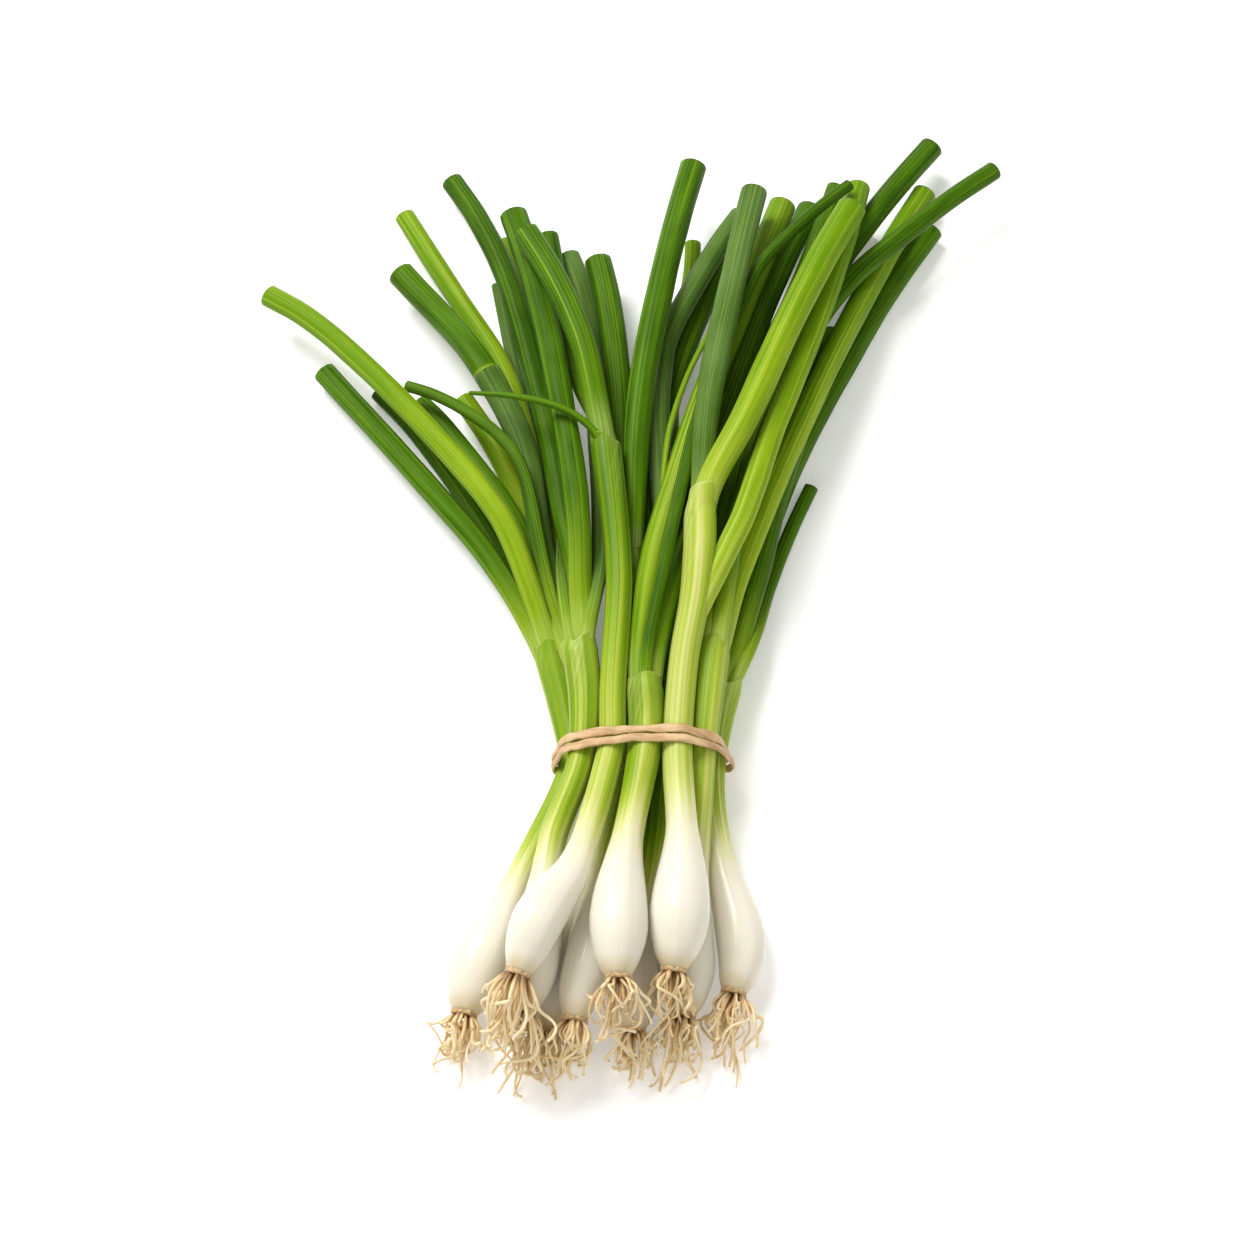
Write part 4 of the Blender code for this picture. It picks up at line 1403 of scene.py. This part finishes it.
@dataclass
class Skin:
    """The skin of one onion's bulb, stem and sheath, laid in rings from the root plate up."""

    onion: Onion
    step: float = 0.0012            # between the rings of the stem
    sway: float = 0.010             # how far the stem's width goes up and down
    sway_rate: float = 90.0         # how fast it does, in radians a metre
    rib_height: float = 0.00004
    ribs_from: float = 0.02         # the ribs reach their full height at this distance
    flare_length: float = 0.045     # length in which the stem widens to the fork
    sheath_rings: int = 12
    gap: float = 0.0001             # between the stem's last ring and the sheath's first
    drawn_in: float = 0.010         # length in which the sheath closes round the leaves
    slimmest: float = 0.6           # least radius of the sheath, as a share of the stem's end
    slack: float = 0.00005          # between the sheath and the leaves
    sink: float = 0.0004            # how far the sheath's edge dips into the leaves
    scar: float = 0.03              # how far down from the fork its pale fibres run
    stem_scar: float = 0.8          # how plainly they show there, as a share
    fold_scar: float = 0.6          # and on each ring of the folded edge, as a share of the one before
    lay: float = 70.0               # how far they turn round the stem, in radians a metre
    calm: float = 0.4               # how much fainter the stripes are at the fork
    calm_length: float = 0.014      # length in which they fade
    calm_rise: float = 0.2          # how much fainter still they are at the sheath's edge
    heading_at: float = 0.012       # distance along a leaf at which its side of the stem is read

    # Rings of the folded edge: share of the way to the middle, and how far down.
    FOLDS = ((0.10, 0.0002), (0.5, 0.004))

    def __post_init__(self) -> None:
        """Find the fork, the leaves that leave it and how far the sheath reaches up them."""
        self.stem = self.onion.stem
        self.turn = np.linspace(0.0, TAU, STEM_SIDES, endpoint=False)
        self.along = np.linspace(0.0, self.stem.length, int(self.stem.length / self.step))
        self.fine = self.stem.at(self.along)
        self.ahead, self.side, self.up = directions(self.fine.middle)
        self.end = self.stem.middle[-1]
        self.forks = [leaf for leaf in self.onion.leaves if leaf.from_fork]
        self.lines = [self.onion.leaf_line(leaf)[:2] for leaf in self.forks]
        self.reach, self.spread = self._reach()
        self.crotch = (1 - self.spread / self.onion.flare) * self.onion.scar_shows
        self.rings = []

    def build(self, wardrobe: Wardrobe) -> None:
        """Lay every ring, loft them and settle the piece in.

        Args:
            wardrobe: The finishes.
        """
        self._lay_stem()
        self._lay_sheath()
        self._fold_edge_in()
        points, run, tone, rim, calm = (np.array(rows) for rows in zip(*self.rings))
        turn = np.broadcast_to(self.turn, run.shape)
        lean = (run - self.stem.length) * self.lay * np.where(turn < TAU / 2, 1, -1)
        grain = self._on_tube(turn, run) + (0.0, self.onion.number * 0.05, 0.0)
        node = f"onion_{self.onion.number}_bulb_stem"
        piece = loft(node + "_skin", points, wardrobe.skin, tone=tone, rim=rim, calm=calm, grain=grain,
                     weave=self._on_tube(turn + lean, run))
        settle_in(piece, "bulb_and_stem", node)

    @staticmethod
    def _on_tube(turn: np.ndarray, run: np.ndarray) -> np.ndarray:
        """Where angles and distances lie on the tube that patterns are laid out on."""
        return np.stack([GRAIN_RADIUS * np.cos(turn), GRAIN_RADIUS * np.sin(turn), run], axis=2)

    def _ring(self, points: np.ndarray, run: float, tone: float, rim: np.ndarray, calm: float) -> None:
        """Lay the next ring, with what its points carry."""
        even = np.ones(STEM_SIDES)
        self.rings.append((points, even * run, even * tone, rim, even * calm))

    def _lay_stem(self) -> None:
        """Lay the bulb and the stem, ribbed and widened to the fork."""
        ribs = self.onion.waves(self.turn, (5, 9, 14)) * self.rib_height
        for k, distance in enumerate(self.along):
            past = distance - self.stem.length
            wide = self.spread * ease(past / self.flare_length + 1)
            sway = self.sway * math.sin(distance * self.sway_rate + self.onion.number)
            radius = self.fine.radii[k] * (1 + wide + sway) + ribs * ease(distance / self.ribs_from)
            points = self.fine.middle[k] + around(self.turn, self.side[k], self.up[k]) * radius[:, None]
            rim = self.crotch * ease(past / self.scar + 1) * self.stem_scar
            calm = self.calm * ease(past / self.calm_length + 1)
            self._ring(points, distance, self._tone(distance), rim, calm)

    def _lay_sheath(self) -> None:
        """Lay the sheath past the fork, drawn round the leaves."""
        outward = around(self.turn, self.side[-1], self.up[-1])
        for share in np.arange(1, self.sheath_rings + 1) / self.sheath_rings:
            out = share * self.reach + self.gap
            radius = self._hug(out) - self.sink * share
            points = self.end + self.ahead[-1] * out[:, None] + outward * radius[:, None]
            run = self.stem.length + share * self.reach.mean()
            self._ring(points, run, self.onion.fork_tone, self.crotch, self.calm + self.calm_rise * share)

    def _fold_edge_in(self) -> None:
        """Turn the sheath's edge in between the leaves and down, where it closes."""
        lip, run, tone, rim, calm = self.rings[-1]
        centre = self.end + self.ahead[-1] * self.reach.min() * 0.5
        for inward, back in self.FOLDS:
            rim = rim * self.fold_scar
            self.rings.append((lip + (centre - lip) * inward - self.ahead[-1] * back, run, tone, rim, calm))

    def _tone(self, distance: float) -> float:
        """How green the skin is.

        Args:
            distance: How far from the root plate.

        Returns:
            Its tone, from 0 where it is white.
        """
        onion = self.onion
        rise = ease((distance - onion.green_from) / (onion.green_by - onion.green_from))
        late = ease((distance - onion.green_by) / (self.stem.length - onion.green_by))
        return float(onion.stem_tone * rise + (onion.fork_tone - onion.stem_tone) * late)

    def _reach(self) -> tuple[np.ndarray, np.ndarray]:
        """How far past the fork the sheath's edge runs: up each leaf's outer side, and down between leaves.

        Returns:
            The distance at each angle, and how much wider the stem's end is there.
        """
        onion = self.onion
        facing = np.zeros(STEM_SIDES)
        for leaf in self.forks:
            out = onion.blades[leaf.letter].at(np.array([self.heading_at])).middle[0] - self.end
            angle = math.atan2(float(out @ self.up[-1]), float(out @ self.side[-1]))
            facing = np.maximum(facing, np.cos(self.turn - angle))
        near = facing ** 2
        return onion.sheath_low + (onion.sheath_high - onion.sheath_low) * near, near * onion.flare

    def _hug(self, out: np.ndarray) -> np.ndarray:
        """How far the sheath stands from the stem's axis where it is drawn round the leaves.

        Args:
            out: Distance past the fork at each angle.

        Returns:
            The sheath's radius at each angle.
        """
        radius = float(self.stem.radii[-1]) * (1 + self.spread)
        widest = radius * self.slimmest
        for points, girth in self.lines:
            places = points - self.end
            order = np.argsort(places @ self.ahead[-1])
            places, thick = places[order], girth[order]
            past = places @ self.ahead[-1]
            away = (np.interp(out, past, places @ self.side[-1]) * np.cos(self.turn)
                    + np.interp(out, past, places @ self.up[-1]) * np.sin(self.turn))
            widest = np.maximum(widest, away + np.interp(out, past, thick) + self.slack)
        return np.maximum(widest, radius + (widest - radius) * ease(out / self.drawn_in))


def the_onions() -> list[Onion]:
    """The ten onions of the bunch.

    Returns:
        The onions, by number.
    """
    green, blue, yellow = Tint.GREEN, Tint.BLUISH, Tint.YELLOW
    return [
        Onion(1, Roots(0.019, spread=1.4, droop=0.3), [
            Leaf("a", yellow, 0.05, keel_at=0.2, base_share=0.85), Leaf("b", green), Leaf("c", green),
            Leaf("d", green)]),
        Onion(2, Roots(0.025, count=34, droop=0.6, spread=1.0), [
            Leaf("a", green, 0.06, base_share=0.97), Leaf("b", green, 0.01), Leaf("c", green)],
            stem_tone=0.52, fork_tone=0.80, sheath_low=0.001, sheath_high=0.004, scar_shows=0.2),
        Onion(3, Roots(0.021, droop=0.6), [
            Leaf("a", green, 0.06, base_share=0.85), Leaf("b", blue, 0.03), Leaf("c", green), Leaf("d", blue),
            Leaf("e", yellow)], stem_tone=0.60, fork_tone=0.64),
        Onion(4, Roots(0.019, spread=1.3), [
            Leaf("a", blue), Leaf("b", yellow), Leaf("c", yellow), Leaf("d", green),
            Leaf("e", green, 0.001, from_end_of="a")]),
        Onion(5, Roots(0.020, droop=0.5), [Leaf("a", green), Leaf("b", green)], fork_tone=0.85),
        Onion(6, Roots(0.021, droop=0.6), [
            Leaf("a", yellow, 0.06), Leaf("b", green, 0.05), Leaf("c", green, 0.02)],
            stem_tone=0.66, fork_tone=0.74, sheath_low=0.004, scar_shows=0.5),
        Onion(7, Roots(0.016), [
            Leaf("a", blue), Leaf("b", green), Leaf("c", yellow), Leaf("d", yellow, 0.01)],
            stem_tone=0.8, fork_tone=0.9),
        Onion(8, Roots(0.019, droop=0.55), [
            Leaf("a", blue, 0.02, mood=0.15), Leaf("b", yellow, 0.05, base_share=0.9),
            Leaf("c", yellow, 0.06, base_share=0.8, from_side=True)],
            stem_tone=0.46, fork_tone=0.54, sheath_low=0.009, sheath_high=0.011, flare=0.45),
        Onion(9, Roots(0.020, droop=0.3), [
            Leaf("a", yellow, 0.06), Leaf("b", green), Leaf("c", green), Leaf("d", green), Leaf("e", green)]),
        Onion(10, Roots(0.021, droop=0.35, spread=0.95), [
            Leaf("a", green, 0.06, base_share=0.85), Leaf("b", green), Leaf("c", green)]),
    ]


# --- rubber band -----------------------------------------------------------------------------------------
@dataclass
class RubberBand:
    """The doubled rubber band: its CAD loop, rounded and wrinkled by a node tree."""

    node: str = "rubber_band"
    unevenness: Vector = field(default_factory=lambda: Vector((0.0004, 0.0013, 0.0006)))
    swell: float = 0.00022
    seed: float = 4.0
    waves: Grain = (110.0, 620.0, 110.0)
    wrinkles: Grain = (300.0, 1300.0, 300.0)
    wrinkle_share: float = 0.45     # how far the wrinkles move the surface, as a share of the waves
    face_angle: float = 1.2         # up to which triangles of the loop are joined
    shape_angle: float = 3.0

    def build(self, wardrobe: Wardrobe) -> None:
        """Round the loop's edges, wrinkle it and dress it.

        Args:
            wardrobe: The finishes.
        """
        shape = bmesh.new()
        shape.from_mesh(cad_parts[self.node].data)
        bmesh.ops.remove_doubles(shape, verts=shape.verts, dist=TOUCHING)
        bmesh.ops.join_triangles(shape, faces=shape.faces, angle_face_threshold=self.face_angle,
                                 angle_shape_threshold=self.shape_angle)
        mesh = bpy.data.meshes.new("band_start")
        shape.to_mesh(mesh)
        shape.free()
        mesh.materials.clear()
        piece = self._tree().grow("band_loop", mesh, {"Unevenness": self.unevenness, "Swell": self.swell,
                                                      "Seed": self.seed, "Material": wardrobe.rubber})
        settle_in(piece, "rubber_band", self.node)

    def _tree(self) -> GrowNet:
        """Build the tree: three roundings, a swelling after the first and a move before each of the others.

        Returns:
            The tree.
        """
        net = GrowNet("band_wrinkles", Unevenness=Vector, Swell=float, Seed=float,
                      Material=bpy.types.Material)
        loop = self._rounder(net, net.value("Geometry"))
        loop = net.move(loop, net.scale(net.node("GeometryNodeInputNormal"), net.value("Swell")))
        for marks, share in ((self.waves, 1.0), (self.wrinkles, self.wrinkle_share)):
            place = net.vector("MULTIPLY", net.position(), marks)
            place = net.vector("ADD", place, net.scale((1.0, 1.0, 1.0), net.value("Seed")))
            noise = net.vector("SUBTRACT", net.noise(place, detail=1.0, result="Color"), (0.5, 0.5, 0.5))
            offset = net.vector("MULTIPLY", noise, net.value("Unevenness"))
            loop = net.move(loop, net.scale(offset, 2 * share))
            loop = self._rounder(net, loop)
        net.close(loop)
        return net

    @staticmethod
    def _rounder(net: GrowNet, loop: Wire) -> Wire:
        """The loop with every face divided once and its edges rounded."""
        return net.node("GeometryNodeSubdivisionSurface", {}, {"Mesh": loop, "Level": 1})


# --- studio ----------------------------------------------------------------------------------------------
@dataclass(frozen=True)
class Lamp:
    """A square soft light that faces the bunch."""

    name: str
    place: tuple[float, float, float]
    size: float
    power: float

    def hang(self, aim: Vector) -> None:
        """Put it in the scene.

        Args:
            aim: The point that it faces.
        """
        lamp = bpy.data.lights.new(self.name, "AREA")
        lamp.size = self.size
        lamp.energy = self.power
        light = bpy.data.objects.new(self.name, lamp)
        light.location = self.place
        light.rotation_euler = (aim - Vector(self.place)).to_track_quat("-Z", "Y").to_euler()
        bpy.context.scene.collection.objects.link(light)


@dataclass
class Studio:
    """The table, the lights and the camera."""

    aim: Vector = field(default_factory=lambda: Vector((-0.0024, -0.0180, 0.0150)))
    distance: float = 0.98694
    elevation: float = math.radians(64.0)
    lens: float = 85.0
    table_size: float = 6.0
    lamps: tuple[Lamp, ...] = (Lamp("key", (-0.62, 0.72, 1.20), 0.75, 24.5),
                               Lamp("fill", (0.9, -0.3, 1.0), 1.2, 3.0),
                               Lamp("front", (-0.3, -1.1, 0.9), 0.7, 2.4))
    sky: Colour = (1.0, 0.97, 0.915, 1.0)
    sky_strength: float = 0.42

    def build(self, wardrobe: Wardrobe) -> None:
        """Set them all up.

        Args:
            wardrobe: The finishes.
        """
        self._table(wardrobe)
        for lamp in self.lamps:
            lamp.hang(self.aim)
        world = bpy.data.worlds.new("studio")
        world.use_nodes = True
        world.node_tree.nodes["Background"].inputs["Color"].default_value = self.sky
        world.node_tree.nodes["Background"].inputs["Strength"].default_value = self.sky_strength
        bpy.context.scene.world = world
        bpy.context.scene.view_settings.view_transform = "Standard"
        self._camera()

    def _table(self, wardrobe: Wardrobe) -> None:
        """A plain pale table at the lowest point of the bunch.

        Args:
            wardrobe: The finishes.
        """
        half, low = self.table_size / 2, CAD_BOX[0][2]
        mesh = bpy.data.meshes.new("table")
        corners = [(-half, -half, low), (half, -half, low), (half, half, low), (-half, half, low)]
        mesh.from_pydata(corners, [], [(0, 1, 2, 3)])
        mesh.materials.append(wardrobe.table)
        table = bpy.data.objects.new("table", mesh)
        bpy.context.scene.collection.objects.link(table)

    def _camera(self) -> None:
        """The camera looks down on the bunch from its root end."""
        lens = bpy.data.cameras.new("camera")
        lens.lens = self.lens
        lens.clip_end = 20.0
        camera = bpy.data.objects.new("camera", lens)
        back = Vector((0.0, -math.cos(self.elevation), math.sin(self.elevation)))
        camera.location = self.aim + back * self.distance
        camera.rotation_euler = (-back).to_track_quat("-Z", "Y").to_euler()
        bpy.context.scene.collection.objects.link(camera)
        bpy.context.scene.camera = camera


def main() -> None:
    """Build the bunch and its studio."""
    logging.basicConfig(level=logging.INFO, format="%(message)s")
    wardrobe = Wardrobe()
    Studio().build(wardrobe)
    blades, tufts = LeafBlades(), RootTufts()
    for onion in the_onions():
        Skin(onion).build(wardrobe)
        onion.make_roots(tufts, wardrobe)
        onion.make_leaves(blades, wardrobe)
    RubberBand().build(wardrobe)


if __name__ == "__main__":
    main()
